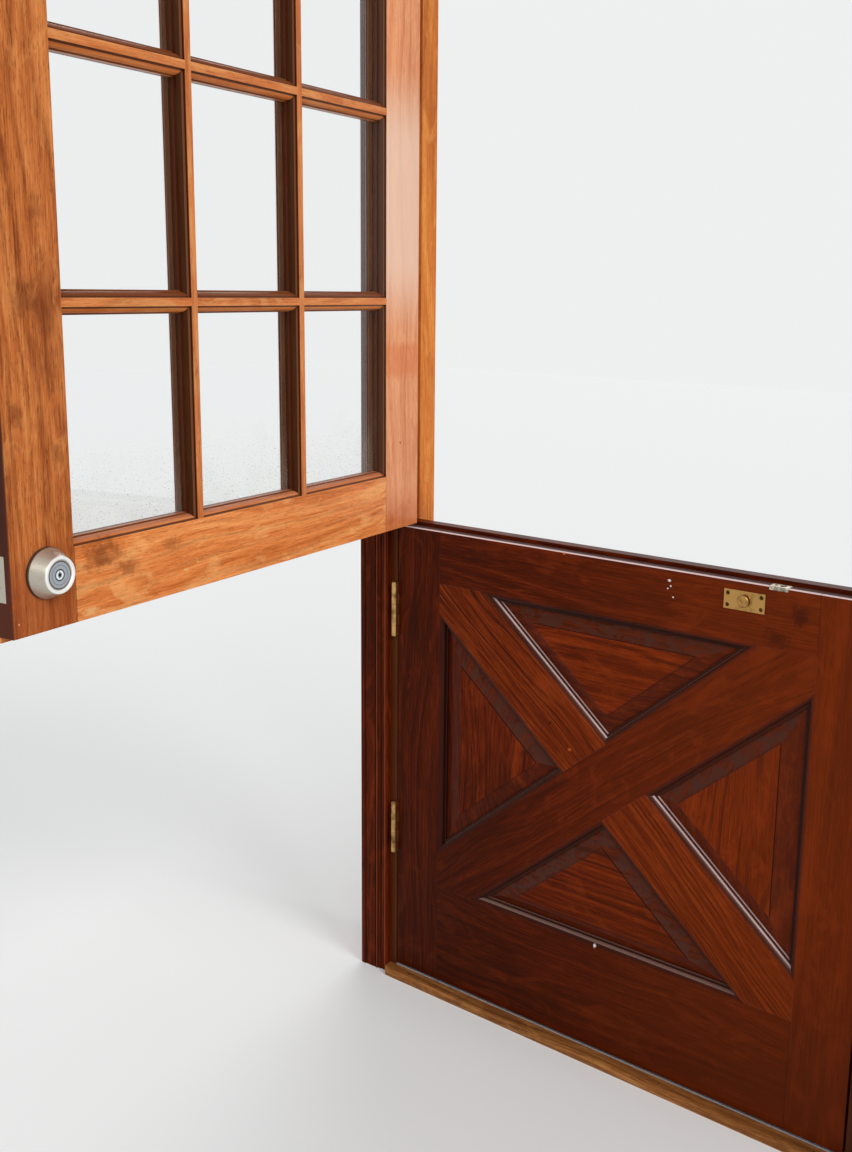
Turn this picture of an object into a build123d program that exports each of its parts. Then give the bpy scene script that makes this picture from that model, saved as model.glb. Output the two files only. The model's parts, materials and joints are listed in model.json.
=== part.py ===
from build123d import *

import math
import os

# Leaf coordinates: X from the hinge edge, Y from the inner face outwards, Z from the foot of the lower leaf.
LEAF_WIDTH = 914.0
LEAF_DEPTH = 44.0
LOWER_HEIGHT = 885.0
UPPER_HEIGHT = 1109.0
LEAF_GAP = 3.0
TONGUE_HEIGHT = 7.5
LIP_PLAY = 1.5
OVERRUN = 1.0

LEDGE_Z = LOWER_HEIGHT
TONGUE_TOP = LEDGE_Z + TONGUE_HEIGHT
LIP_FOOT = LEDGE_Z + LEAF_GAP
UPPER_FOOT = TONGUE_TOP + LEAF_GAP
LEAF_TOP = LIP_FOOT + UPPER_HEIGHT
LEAF_Y = (0.0, LEAF_DEPTH)
TONGUE_Y = (LEAF_DEPTH / 2, LEAF_DEPTH)
LIP_Y = (0.0, LEAF_DEPTH / 2 - LIP_PLAY)

# Lower leaf
LOWER_STILE = 98.0
BOTTOM_RAIL = 192.6
LOWER_TOP_RAIL = 96.0
TOP_RAIL_FOOT = LEDGE_Z - LOWER_TOP_RAIL
BRACE_WIDTH = 104.0
BRACE_RISE = 13.0
STICK_WIDTH = 13.0
STICK_DEPTH = 13.5
STICK_STEP = 1.5
STICK_BEAD = (1.2, 8.6, 8.2)
STICK_FILLET = 9.6
PANEL_TONGUE = 8.0
GROOVE_SIDE = 9.0
FIELD_INSET = 39.0
FIELD_INSET_STILE = 49.0
FIELD_Y = 2.0
BEVEL_TOP_Y = 4.2

# Upper leaf
HINGE_STILE = 102.0
LOCK_STILE = 99.5
UPPER_BOTTOM_RAIL = 97.1
UPPER_TOP_RAIL = 100.4
PANES_EACH_WAY = 3
BAR_WIDTH = 11.1
BAR_LAP = 11.0
LOWER_GLASS_EDGE = UPPER_FOOT + UPPER_BOTTOM_RAIL
UPPER_GLASS_EDGE = LEAF_TOP - UPPER_TOP_RAIL
GLASS_WIDE = (HINGE_STILE, LEAF_WIDTH - LOCK_STILE)
GLASS_HIGH = (LOWER_GLASS_EDGE, UPPER_GLASS_EDGE)
GLASS_THICK = 3.0
GLASS_DEPTH = 20.5
GLASS_Y = (LEAF_DEPTH - GLASS_DEPTH - GLASS_THICK, LEAF_DEPTH - GLASS_DEPTH)
BAR_STEP = 4.5
BAR_OVOLO = (8.0, 13.0)
BAR_STICK_WIDTH = 10.0
BEAD_WIDTH = 9.5
BEAD_DEEP = 12.5
BEAD_ROUND = 6.0
BEAD_Y = (GLASS_Y[0] - BEAD_DEEP, GLASS_Y[0])

# Hinges
OPEN_ANGLE = 81.8
PIN_XY = (-4.7, -7.0)
BARREL_R = 5.5
PIN_R = 3.0
RUNNING_GAP = 0.05
HINGE_LENGTH = 101.6
HINGE_CENTRES_LOWER = (289.0, LEDGE_Z - 160.0)
HINGE_CENTRES_UPPER = (LIP_FOOT + 160.0, LEAF_TOP - 178.0)
HINGE_CENTRES = HINGE_CENTRES_LOWER + HINGE_CENTRES_UPPER
KNUCKLES = 5
KNUCKLE_GAP = 0.4
LEAF_PLATE_X = (-1.4, 0.8)
FRAME_PLATE_X = (-4.6, -2.4)
PLATE_BACK_Y = 31.0
PLATE_CLEAR_Y = 0.9
PIN_HEAD_R = 4.6
PIN_HEAD_H = 2.2
PIN_TIP_H = 1.6
HINGE_SCREW_SHARES = (-0.374, -0.138, 0.138, 0.374)
HINGE_SCREW_Y = (20.0, 12.0, 20.0, 12.0)
SCREW_HEAD_R = 4.2
SCREW_SHANK_R = 2.1
SCREW_LENGTH = 14.0
SMALL_HEAD_R = 3.2
SMALL_SHANK_R = 1.6
SMALL_LENGTH = 10.0

# Frame
SIDE_GAP = 3.7
HEAD_GAP = 3.0
JAMB_THICK = 25.0
JAMB_DEPTH = LEAF_DEPTH + 62.0
STOP_Y = (LEAF_DEPTH + 3.0, LEAF_DEPTH + 44.0)
STOP_RISE = 13.7
JAMB_ARRIS = 1.5
CASING_WIDTH = 63.5
CASING_THICK = 18.0
REVEAL = 15.0
# Casing face from its outer edge, as shares of its width and thickness
CASING_FACE = (
    (0.0, 0.74), (0.025, 0.92), (0.066, 1.0), (0.198, 1.0), (0.198, 0.91),
    (0.586, 0.91), (0.586, 0.83), (0.647, 0.95), (0.709, 0.83), (0.789, 0.83),
    (0.789, 0.73), (0.929, 0.73), (1.0, 0.58),
)

# Threshold
FLOOR_Z = -20.0
SILL_THICK = 14.0
SILL_TOP = FLOOR_Z + SILL_THICK
NOSE_Y = -26.0
NOSE_ROUND = 7.0
NOSE_SIDE_Y = -17.0
NOSE_BEVEL = 9.0
STRIP_Y = (1.0, 26.0)
STRIP_THICK = 1.8
NAIL_R = 2.0
NAIL_LENGTH = 9.0
NAIL_ROW_Y = -12.0
NAIL_EDGE = 41.0
NAIL_COUNT = 4

# Stud plate and keeper of the lower leaf, placed from the lock edge and the ledge
STUD_XZ = (LEAF_WIDTH - 219.0, LEDGE_Z - 29.5)
STUD_PLATE = (68.0, 2.0, 31.0)
STUD_PLATE_MARGIN = 6.2
STUD_BASE = (11.5, 1.3)
STUD_NECK = (4.5, 3.0)
STUD_HEAD = (9.5, 2.2)
STUD_ROUND = 1.0
STUD_TAIL = (4.0, 9.0)
KEEPER_X = (LEAF_WIDTH - 180.0, LEAF_WIDTH - 150.0)
KEEPER_BACK = 17.0
KEEPER_THICK = 1.2
KEEPER_FOLD = 5.0
KEEPER_HOLE_R = 5.5
KEEPER_SCREW_INSET = 7.0

# Flush bolt of the upper leaf
BOLT_XY = (LEAF_WIDTH - 162.0, 9.0)
ROD_R = 4.0
ROD_LENGTH = 76.0
ROD_REST = 1.0
ROD_TRAVEL = 12.0
ROD_PLAY = 3.0
BOLT_BODY = (17.0, 15.0, 94.0)
BOLT_FACE = (24.0, 1.6, 96.0)
BOLT_FACE_RISE = 2.0
BOLT_SCREW_INSET = 7.0
THUMB_SLOT = (6.8, 26.0)
THUMB_SLOT_RISE = 36.0
THUMB_HIGH = 9.0
THUMB_PAD = (8.0, 4.0)
THUMB_PLAY = 0.4

# Quadrant of the upper leaf
SLOT_RADIUS = 64.5
PIVOT_XZ = (STUD_XZ[0], STUD_XZ[1] + SLOT_RADIUS)
QUADRANT_RADIUS = SLOT_RADIUS + 11.5
QUADRANT_SPAN = (105.0, 195.0)
SLOT_HALF = STUD_NECK[0] + 0.5
SLOT_SPAN = (162.0, 197.0)
ARM_Y = (-5.7, -3.7)
BACK_PLATE = (54.0, 2.0, 44.0)
BACK_PLATE_MARGIN = 6.0
BOSS_R = 9.0
PIVOT_R = 4.0
PIVOT_HEAD = (7.0, 2.0)
ARM_PLAY = 0.4
GRIP_ANGLE = 112.0
GRIP_RADIUS = QUADRANT_RADIUS - 10.0
GRIP = (6.0, 4.2, 16.0)
GRIP_ROUND = 1.2

# Deadbolt, placed from the lock edge and the foot of the upper leaf
BACKSET = 55.0
LOCK_XZ = (LEAF_WIDTH - BACKSET, UPPER_FOOT + 72.5)
LOCK_BORE_R = 27.0
FACEPLATE = (3.0, 25.0, 57.0)
FACEPLATE_SCREW_Z = 21.0
CASE_R = 12.7
CASE_X = (LOCK_XZ[0] - 16.0, LEAF_WIDTH - FACEPLATE[0])
CASE_Y = LEAF_DEPTH / 2
COLLAR_PROFILE = ((32.5, 0.0), (32.5, 3.0), (31.2, 6.0), (24.0, 21.8), (22.6, 24.5), (19.8, 24.5), (18.6, 22.5))
CYLINDER_R = 17.0
CYLINDER_FRONT = 22.5
PLUG_R = 6.5
KEYWAY = (1.8, 9.0, 5.0)
ROSE_PROFILE = ((28.0, 0.0), (28.0, 3.0), (25.0, 7.0))
TURN_SHAFT_R = 5.0
TURN_COLLAR = (9.0, 7.4, 10.4)
TURN_PADDLE = (34.0, 7.0, 22.0)
BOLT_TIP_BACK = 0.4
BOLT_X = (LOCK_XZ[0] + 8.0, LEAF_WIDTH - BOLT_TIP_BACK)
BOLT_HALF = (6.0, 10.0)
BOLT_PLAY = 0.35
BOLT_POCKET = 23.0
STRIKE = (2.0, 32.0, 70.0)
STRIKE_OPENING = (7.5, 12.0)
STRIKE_SCREW_Z = 27.0


def block(x, y, z):
    """Box between the low and high limits of its three axes."""
    size = [high - low for low, high in (x, y, z)]
    return Pos(x[0], y[0], z[0]) * Box(*size, align=(Align.MIN,) * 3)


def around(centre, size):
    """Low and high limits of a length about its centre."""
    return (centre - size / 2, centre + size / 2)


def slab(outline, y):
    """Prism of an outline of XZ points between two depths."""
    wire = Wire.make_polygon([(px, y[0], pz) for px, pz in outline], close=True)
    return extrude(Face(wire), amount=y[1] - y[0], dir=(0, 1, 0))


def post(outline, z):
    """Prism of an outline of XY points between two heights."""
    wire = Wire.make_polygon([(px, py, z[0]) for px, py in outline], close=True)
    return extrude(Face(wire), amount=z[1] - z[0], dir=(0, 0, 1))


def rod(centre, radius, length, direction):
    """Cylinder from a centre along a direction."""
    return extrude(Plane(origin=centre, z_dir=direction) * Circle(radius), amount=length)


def turned(profile, centre, direction):
    """Solid turned from (radius, height) points about an axis, closed on that axis."""
    points = [(0.0, profile[0][1]), *profile, (0.0, profile[-1][1])]
    outline = Face(Wire.make_polygon([(radius, 0.0, height) for radius, height in points], close=True))
    return Plane(origin=centre, z_dir=direction).location * revolve(outline, axis=Axis.Z)


def screw(centre, direction, head_r, shank_r, length):
    """Countersunk screw with its face at a centre, driven along a direction."""
    profile = ((head_r, 0.0), (shank_r, head_r - shank_r), (shank_r, length))
    return turned(profile, centre, direction)


def screws(spots, direction, head_r, shank_r, length):
    """Countersunk screws at each spot."""
    return [screw(spot, direction, head_r, shank_r, length) for spot in spots]


def big_screws(spots, direction):
    """Hinge screws at each spot."""
    return screws(spots, direction, SCREW_HEAD_R, SCREW_SHANK_R, SCREW_LENGTH)


def small_screws(spots, direction):
    """Fitting screws at each spot."""
    return screws(spots, direction, SMALL_HEAD_R, SMALL_SHANK_R, SMALL_LENGTH)


def cut(solid, tools):
    """Solid with each tool taken away."""
    for tool in tools:
        solid = solid - tool
    return solid


def edge_line(start, end):
    """Inward unit normal and offset of a counter-clockwise edge."""
    run = (end[0] - start[0], end[1] - start[1])
    size = math.hypot(*run)
    normal = (-run[1] / size, run[0] / size)
    return normal, normal[0] * start[0] + normal[1] * start[1]


def inset(outline, distances):
    """Counter-clockwise outline with each edge moved inwards by its distance."""
    lines = []
    for index, start in enumerate(outline):
        normal, offset = edge_line(start, outline[(index + 1) % len(outline)])
        lines.append((normal, offset + distances[index]))
    moved = []
    for index, (normal, offset) in enumerate(lines):
        before, before_offset = lines[index - 1]
        spread = before[0] * normal[1] - before[1] * normal[0]
        x = (before_offset * normal[1] - offset * before[1]) / spread
        z = (offset * before[0] - before_offset * normal[0]) / spread
        moved.append((x, z))
    return moved


def evenly(outline, distance):
    """Outline with every edge moved inwards by one distance."""
    return inset(outline, [distance] * len(outline))


def clip(outline, normal, limit):
    """Part of an outline where the dot product with a normal is at most a limit."""
    kept = []
    for index, point in enumerate(outline):
        other = outline[(index + 1) % len(outline)]
        here = normal[0] * point[0] + normal[1] * point[1] - limit
        there = normal[0] * other[0] + normal[1] * other[1] - limit
        if here <= 0:
            kept.append(point)
        if here * there < 0:
            share = here / (here - there)
            kept.append(tuple(a + share * (b - a) for a, b in zip(point, other)))
    return kept


def sector(outline, index, depth, y):
    """Mitred prism beside one edge of an outline."""
    inner = evenly(outline, depth)
    after = (index + 1) % len(outline)
    return slab([outline[index], outline[after], inner[after], inner[index]], y)


def stick(outline, index, section, y):
    """Moulding along one edge of an outline, mitred at both ends."""
    start, end = outline[index], outline[(index + 1) % len(outline)]
    normal, _ = edge_line(start, end)

    def place(s, depth):
        return Vector(start[0] + s * normal[0], depth, start[1] + s * normal[1])

    profile = Face(Wire(section(place)))
    run = (end[0] - start[0], 0.0, end[1] - start[1])
    length = math.hypot(run[0], run[2])
    strip = extrude(profile, amount=length, dir=run)
    return strip & sector(outline, index, STICK_WIDTH, y)


def panel_section(face, sign):
    """Section of the sticking round a panel, from a face inwards."""

    def edges(place):
        step = face + sign * STICK_STEP
        foot = face + sign * STICK_DEPTH
        s_low, s_high, drop = STICK_BEAD
        bead = face + sign * drop
        fillet = face + sign * STICK_FILLET
        reach = s_high - s_low
        fall = drop - STICK_STEP
        turn = math.radians(45)
        middle = (s_low + reach * math.sin(turn), step + sign * fall * (1 - math.cos(turn)))
        points = [
            place(s_high, bead),
            place(s_high, fillet),
            place(STICK_WIDTH, fillet),
            place(STICK_WIDTH, foot),
            place(0.0, foot),
            place(0.0, step),
            place(s_low, step),
        ]
        arc = Edge.make_three_point_arc(points[-1], place(*middle), points[0])
        return [Edge.make_line(a, b) for a, b in zip(points, points[1:])] + [arc]

    return edges


def glass_section(place):
    """Section of the sticking round a pane, from the outer face to the glass."""
    reach, drop = BAR_OVOLO
    top = LEAF_DEPTH - BAR_STEP
    foot = LEAF_DEPTH - drop
    glass = GLASS_Y[1]
    turn = math.radians(45)
    middle = (reach * math.sin(turn), foot + (top - foot) * math.cos(turn))
    points = [
        place(reach, foot),
        place(BAR_STICK_WIDTH, foot),
        place(BAR_STICK_WIDTH, glass),
        place(0.0, glass),
        place(0.0, top),
    ]
    arc = Edge.make_three_point_arc(points[-1], place(*middle), points[0])
    return [Edge.make_line(a, b) for a, b in zip(points, points[1:])] + [arc]


def bead_section(place):
    """Section of a glazing bead, from the glass inwards."""
    low, high = BEAD_Y
    short = BEAD_ROUND * (1 - math.sin(math.radians(45)))
    points = [
        place(BEAD_WIDTH, low + BEAD_ROUND),
        place(BEAD_WIDTH, high),
        place(0.0, high),
        place(0.0, low),
        place(BEAD_WIDTH - BEAD_ROUND, low),
    ]
    arc = Edge.make_three_point_arc(points[-1], place(BEAD_WIDTH - short, low + short), points[0])
    return [Edge.make_line(a, b) for a, b in zip(points, points[1:])] + [arc]


def knuckle_bands(centre):
    """Low and high ends of the knuckles of one hinge."""
    foot = centre - HINGE_LENGTH / 2
    step = HINGE_LENGTH / KNUCKLES
    bands = []
    for index in range(KNUCKLES):
        low = foot + index * step + (KNUCKLE_GAP / 2 if index else 0.0)
        high = foot + (index + 1) * step - (KNUCKLE_GAP / 2 if index < KNUCKLES - 1 else 0.0)
        bands.append((low, high))
    return bands


def hinge_half(centre, plate_x, first, bore):
    """Plate and knuckles of one half of a hinge, with bare screw seats."""
    bands = knuckle_bands(centre)
    foot, top = bands[0][0], bands[-1][1]
    plate = block(plate_x, (PLATE_CLEAR_Y, PLATE_BACK_Y), (foot, top))
    for band in bands[first::2]:
        arm = block(plate_x, (PIN_XY[1], PLATE_CLEAR_Y), band)
        barrel = rod((*PIN_XY, band[0]), BARREL_R, band[1] - band[0], (0, 0, 1))
        plate = plate + arm + barrel
    pin = rod((*PIN_XY, foot - OVERRUN), bore, HINGE_LENGTH + 2 * OVERRUN, (0, 0, 1))
    return plate - pin


def hinge_pin(centre):
    """Hinge pin with a head and a tip."""
    foot = centre - HINGE_LENGTH / 2
    shaft = rod((*PIN_XY, foot), PIN_R, HINGE_LENGTH, (0, 0, 1))
    head = turned(((PIN_HEAD_R, 0.0), (PIN_HEAD_R, PIN_HEAD_H / 2), (PIN_R, PIN_HEAD_H)),
                  (*PIN_XY, foot + HINGE_LENGTH), (0, 0, 1))
    tip = turned(((PIN_HEAD_R, 0.0), (PIN_R, PIN_TIP_H)), (*PIN_XY, foot), (0, 0, -1))
    return shaft + head + tip


def hinge_spots(centres, x):
    """Screw centres of the hinge plates."""
    rows = list(zip(HINGE_SCREW_SHARES, HINGE_SCREW_Y))
    return [(x, y, centre + share * HINGE_LENGTH) for centre in centres for share, y in rows]


def plate_mortise(centre, plate_x):
    """Space that a hinge plate takes in the wood."""
    return block(plate_x, (-OVERRUN, PLATE_BACK_Y), around(centre, HINGE_LENGTH))


def lower_openings():
    """Triangular openings between the rails, stiles and braces, with the owner of each edge."""
    left, right = LOWER_STILE, LEAF_WIDTH - LOWER_STILE
    low, high = BOTTOM_RAIL, TOP_RAIL_FOOT
    slope = (high + BRACE_RISE - low) / (right - left)
    middle = (left + right) / 2
    crossing = low + slope * (middle - left)
    lift = BRACE_WIDTH / 2 * math.hypot(1.0, slope)
    side = lift / slope
    reach = slope * (middle - left)
    left_low, left_high = crossing - reach + lift, crossing + reach - lift
    top_run = (high - crossing - lift) / slope
    foot_run = (crossing - lift - low) / slope
    return {
        "left": ([(left, left_low), (middle - side, crossing), (left, left_high)],
                 ("long_brace", "upper_short_brace", "lower_hinge_stile")),
        "right": ([(right, left_low), (right, left_high), (middle + side, crossing)],
                  ("lower_lock_stile", "long_brace", "lower_short_brace")),
        "top": ([(middle, crossing + lift), (middle + top_run, high), (middle - top_run, high)],
                ("long_brace", "lower_top_rail", "upper_short_brace")),
        "bottom": ([(middle, crossing - lift), (middle - foot_run, low), (middle + foot_run, low)],
                   ("long_brace", "lower_bottom_rail", "lower_short_brace")),
    }


def brace_outlines():
    """Outlines of the long brace and the two short ones that butt on it."""
    left, right = LOWER_STILE, LEAF_WIDTH - LOWER_STILE
    low, high = BOTTOM_RAIL, TOP_RAIL_FOOT
    slope = (high + BRACE_RISE - low) / (right - left)
    size = math.hypot(1.0, slope)
    middle = (left + right) / 2
    crossing = low + slope * (middle - left)
    field = [(left, low), (right, low), (right, high), (left, high)]
    outlines = {}
    rising, falling = (-slope / size, 1.0 / size), (slope / size, 1.0 / size)

    def band(outline, normal):
        centre = normal[0] * middle + normal[1] * crossing
        upper = clip(outline, normal, centre + BRACE_WIDTH / 2)
        return clip(upper, (-normal[0], -normal[1]), -(centre - BRACE_WIDTH / 2))

    centre = rising[0] * middle + rising[1] * crossing
    outlines["long_brace"] = band(field, rising)
    cross = band(field, falling)
    outlines["upper_short_brace"] = clip(cross, (-rising[0], -rising[1]), -(centre + BRACE_WIDTH / 2))
    outlines["lower_short_brace"] = clip(cross, rising, centre - BRACE_WIDTH / 2)
    return outlines


def panel_solid(outline, owners):
    """Raised panel: grooved tongue, bevels and field on both faces."""
    tongue = (STICK_DEPTH, LEAF_DEPTH - STICK_DEPTH)
    fields = [FIELD_INSET_STILE if owner.endswith("stile") else FIELD_INSET for owner in owners]
    foot, top = evenly(outline, STICK_WIDTH), inset(outline, fields)
    solid = slab(evenly(outline, -PANEL_TONGUE), tongue)
    for base, crest, field in (
        (tongue[0], BEVEL_TOP_Y, FIELD_Y),
        (tongue[1], LEAF_DEPTH - BEVEL_TOP_Y, LEAF_DEPTH - FIELD_Y),
    ):
        wires = [Wire.make_polygon([(x, y, z) for x, z in points], close=True)
                 for points, y in ((foot, base), (top, crest))]
        solid = solid + Solid.make_loft(wires, ruled=True) + slab(top, sorted((crest, field)))
    return solid


def lower_leaf():
    """Solids of the lower leaf, in leaf coordinates."""
    left, right = LOWER_STILE, LEAF_WIDTH - LOWER_STILE
    members = {
        "lower_hinge_stile": block((0.0, left), LEAF_Y, (0.0, LEDGE_Z)),
        "lower_lock_stile": block((right, LEAF_WIDTH), LEAF_Y, (0.0, LEDGE_Z)),
        "lower_top_rail": block((left, right), LEAF_Y, (TOP_RAIL_FOOT, LEDGE_Z)),
        "lower_bottom_rail": block((left, right), LEAF_Y, (0.0, BOTTOM_RAIL)),
    }
    for name, outline in brace_outlines().items():
        members[name] = slab(outline, LEAF_Y)
    nodes = {"meeting_tongue": block((0.0, LEAF_WIDTH), TONGUE_Y, (LEDGE_Z, TONGUE_TOP))}
    groove = (STICK_DEPTH, LEAF_DEPTH - STICK_DEPTH)
    openings = lower_openings()
    for place, (outline, owners) in openings.items():
        channel = slab(evenly(outline, -GROOVE_SIDE), groove)
        for name in members:
            members[name] = members[name] - channel
        for index, owner in enumerate(owners):
            for section, y in (
                (panel_section(0.0, 1.0), (0.0, STICK_DEPTH)),
                (panel_section(LEAF_DEPTH, -1.0), (LEAF_DEPTH - STICK_DEPTH, LEAF_DEPTH)),
            ):
                members[owner] = members[owner] + stick(outline, index, section, y)
        nodes[place + "_panel"] = panel_solid(outline, owners)
    plates = [hinge_half(centre, LEAF_PLATE_X, 1, PIN_R + RUNNING_GAP) for centre in HINGE_CENTRES_LOWER]
    hinge_fixings = big_screws(hinge_spots(HINGE_CENTRES_LOWER, LEAF_PLATE_X[0]), (1, 0, 0))
    mortises = [plate_mortise(centre, (-OVERRUN, LEAF_PLATE_X[1])) for centre in HINGE_CENTRES_LOWER]
    members["lower_hinge_stile"] = cut(members["lower_hinge_stile"], mortises + hinge_fixings)
    nodes["lower_hinge_plates"] = cut(Part() + plates, hinge_fixings)
    nodes["lower_hinge_screws"] = Part() + hinge_fixings
    fittings, rail_cuts = stud_and_keeper()
    members["lower_top_rail"] = cut(members["lower_top_rail"], rail_cuts)
    nodes.update(fittings)
    nodes.update(members)
    return nodes


def corners(centre, size, margin):
    """Four points inside the corners of a plate, as XZ pairs."""
    half_x, half_z = size[0] / 2 - margin, size[1] / 2 - margin
    return [(centre[0] + i * half_x, centre[1] + j * half_z) for i in (-1, 1) for j in (-1, 1)]


def stud_and_keeper():
    """Stud plate, stud, keeper and their screws, with what they take from the rail."""
    wide, thick, tall = STUD_PLATE
    x, z = STUD_XZ
    plate = block(around(x, wide), (-thick, 0.0), around(z, tall))
    spots = [(px, -thick, pz) for px, pz in corners(STUD_XZ, (wide, tall), STUD_PLATE_MARGIN)]
    base, neck, head = STUD_BASE[1], STUD_BASE[1] + STUD_NECK[1], STUD_BASE[1] + STUD_NECK[1] + STUD_HEAD[1]
    profile = (
        (STUD_BASE[0], 0.0),
        (STUD_BASE[0], base),
        (STUD_NECK[0], base),
        (STUD_NECK[0], neck),
        (STUD_HEAD[0], neck),
        (STUD_HEAD[0], head - STUD_ROUND),
        (STUD_HEAD[0] - STUD_ROUND, head),
    )
    centre = (x, -thick, z)
    stud = turned(profile, centre, (0, -1, 0)) + rod(centre, STUD_TAIL[0], STUD_TAIL[1], (0, 1, 0))
    top = LEDGE_Z + KEEPER_THICK
    keeper = block(KEEPER_X, (-KEEPER_THICK, KEEPER_BACK), (LEDGE_Z, top))
    keeper = keeper + block(KEEPER_X, (-KEEPER_THICK, 0.0), (LEDGE_Z - KEEPER_FOLD, LEDGE_Z))
    hole = rod((*BOLT_XY, top), KEEPER_HOLE_R, ROD_TRAVEL + ROD_PLAY, (0, 0, -1))
    keeper_spot = (KEEPER_X[0] + KEEPER_SCREW_INSET, BOLT_XY[1], top)
    fixings = small_screws(spots, (0, 1, 0)) + small_screws([keeper_spot], (0, 0, -1))
    nodes = {
        "stud_plate": cut(plate, fixings + [stud]),
        "catch_stud": stud,
        "bolt_keeper": cut(keeper, fixings + [hole]),
        "plate_screws": Part() + fixings,
    }
    return nodes, fixings + [stud, hole]


def divided(limits):
    """Panes between two limits, as low and high pairs with a bar between neighbours."""
    pane = (limits[1] - limits[0] - BAR_WIDTH * (PANES_EACH_WAY - 1)) / PANES_EACH_WAY
    lows = [limits[0] + index * (pane + BAR_WIDTH) for index in range(PANES_EACH_WAY)]
    return [(low, low + pane) for low in lows]


def bars_between(panes):
    """Bars that fill the gaps between panes."""
    return [(before[1], after[0]) for before, after in zip(panes, panes[1:])]


def pane_openings():
    """Pane openings, each with the owner of its four edges."""
    sides = ("upper_hinge_stile", "vertical_bar_left", "vertical_bar_right", "upper_lock_stile")
    heads = ("upper_bottom_rail", "horizontal_bar_low", "horizontal_bar_high", "upper_top_rail")
    openings = []
    for row, (low, high) in enumerate(divided(GLASS_HIGH)):
        for column, (left, right) in enumerate(divided(GLASS_WIDE)):
            outline = [(left, low), (right, low), (right, high), (left, high)]
            owners = (heads[row], sides[column + 1], heads[row + 1], sides[column])
            openings.append((outline, owners))
    return openings


def upper_members():
    """Stiles, rails, glazing bars, panes and beads of the upper leaf."""
    left, right = GLASS_WIDE
    members = {
        "meeting_lip": block((0.0, LEAF_WIDTH), LIP_Y, (LIP_FOOT, UPPER_FOOT)),
        "upper_hinge_stile": block((0.0, left), LEAF_Y, (UPPER_FOOT, LEAF_TOP)),
        "upper_lock_stile": block((right, LEAF_WIDTH), LEAF_Y, (UPPER_FOOT, LEAF_TOP)),
        "upper_bottom_rail": block(GLASS_WIDE, LEAF_Y, (UPPER_FOOT, LOWER_GLASS_EDGE)),
        "upper_top_rail": block(GLASS_WIDE, LEAF_Y, (UPPER_GLASS_EDGE, LEAF_TOP)),
    }
    columns, rows = bars_between(divided(GLASS_WIDE)), bars_between(divided(GLASS_HIGH))
    crossings = [block(x, (0.0, BAR_LAP), z) for x in columns for z in rows]
    for side, limits in zip(("left", "right"), columns):
        members["vertical_bar_" + side] = cut(block(limits, LEAF_Y, GLASS_HIGH), crossings)
    for side, limits in zip(("low", "high"), rows):
        lapped = [block(x, (BAR_LAP, LEAF_DEPTH), limits) for x in columns]
        members["horizontal_bar_" + side] = cut(block(GLASS_WIDE, LEAF_Y, limits), lapped)
    panes, beads = [], []
    for outline, owners in pane_openings():
        panes.append(slab(outline, GLASS_Y))
        for index, owner in enumerate(owners):
            members[owner] = members[owner] + stick(outline, index, glass_section, (GLASS_Y[1], LEAF_DEPTH))
            beads.append(stick(outline, index, bead_section, BEAD_Y))
    return members, {"glass_panes": Part() + panes, "glazing_beads": Part() + beads}


def lock_cylinder():
    """Collar, cylinder and plug of the deadbolt on the outer face."""
    x, z = LOCK_XZ
    front = LEAF_DEPTH + CYLINDER_FRONT
    length = front - CASE_Y - CASE_R
    wide, tall, deep = KEYWAY
    keyway = block(around(x, wide), (front - deep, front + OVERRUN), around(z, tall))
    collar = turned(COLLAR_PROFILE, (x, LEAF_DEPTH, z), (0, 1, 0))
    collar = collar - rod((x, LEAF_DEPTH - OVERRUN, z), CYLINDER_R, front, (0, 1, 0))
    bore = rod((x, front + OVERRUN, z), PLUG_R + RUNNING_GAP, front, (0, -1, 0))
    return {
        "deadbolt_collar": collar,
        "deadbolt_cylinder": rod((x, front, z), CYLINDER_R, length, (0, -1, 0)) - bore,
        "key_plug": rod((x, front, z), PLUG_R, length - ARM_PLAY, (0, -1, 0)) - keyway,
    }


def lock_turn():
    """Rose and turn of the deadbolt on the inner face."""
    x, z = LOCK_XZ
    shaft_end = CASE_Y - CASE_R - ARM_PLAY
    collar_r, near, far = TURN_COLLAR
    length, thick, deep = TURN_PADDLE
    bore = rod((x, -far, z), TURN_SHAFT_R + RUNNING_GAP, LEAF_DEPTH, (0, 1, 0))
    turn = rod((x, -far, z), TURN_SHAFT_R, far + shaft_end, (0, 1, 0))
    turn = turn + rod((x, -near, z), collar_r, far - near, (0, -1, 0))
    turn = turn + block(around(x, length), (-far - deep, -far), around(z, thick))
    return {"inner_rose": turned(ROSE_PROFILE, (x, 0.0, z), (0, -1, 0)) - bore, "thumb_turn": turn}


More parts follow.
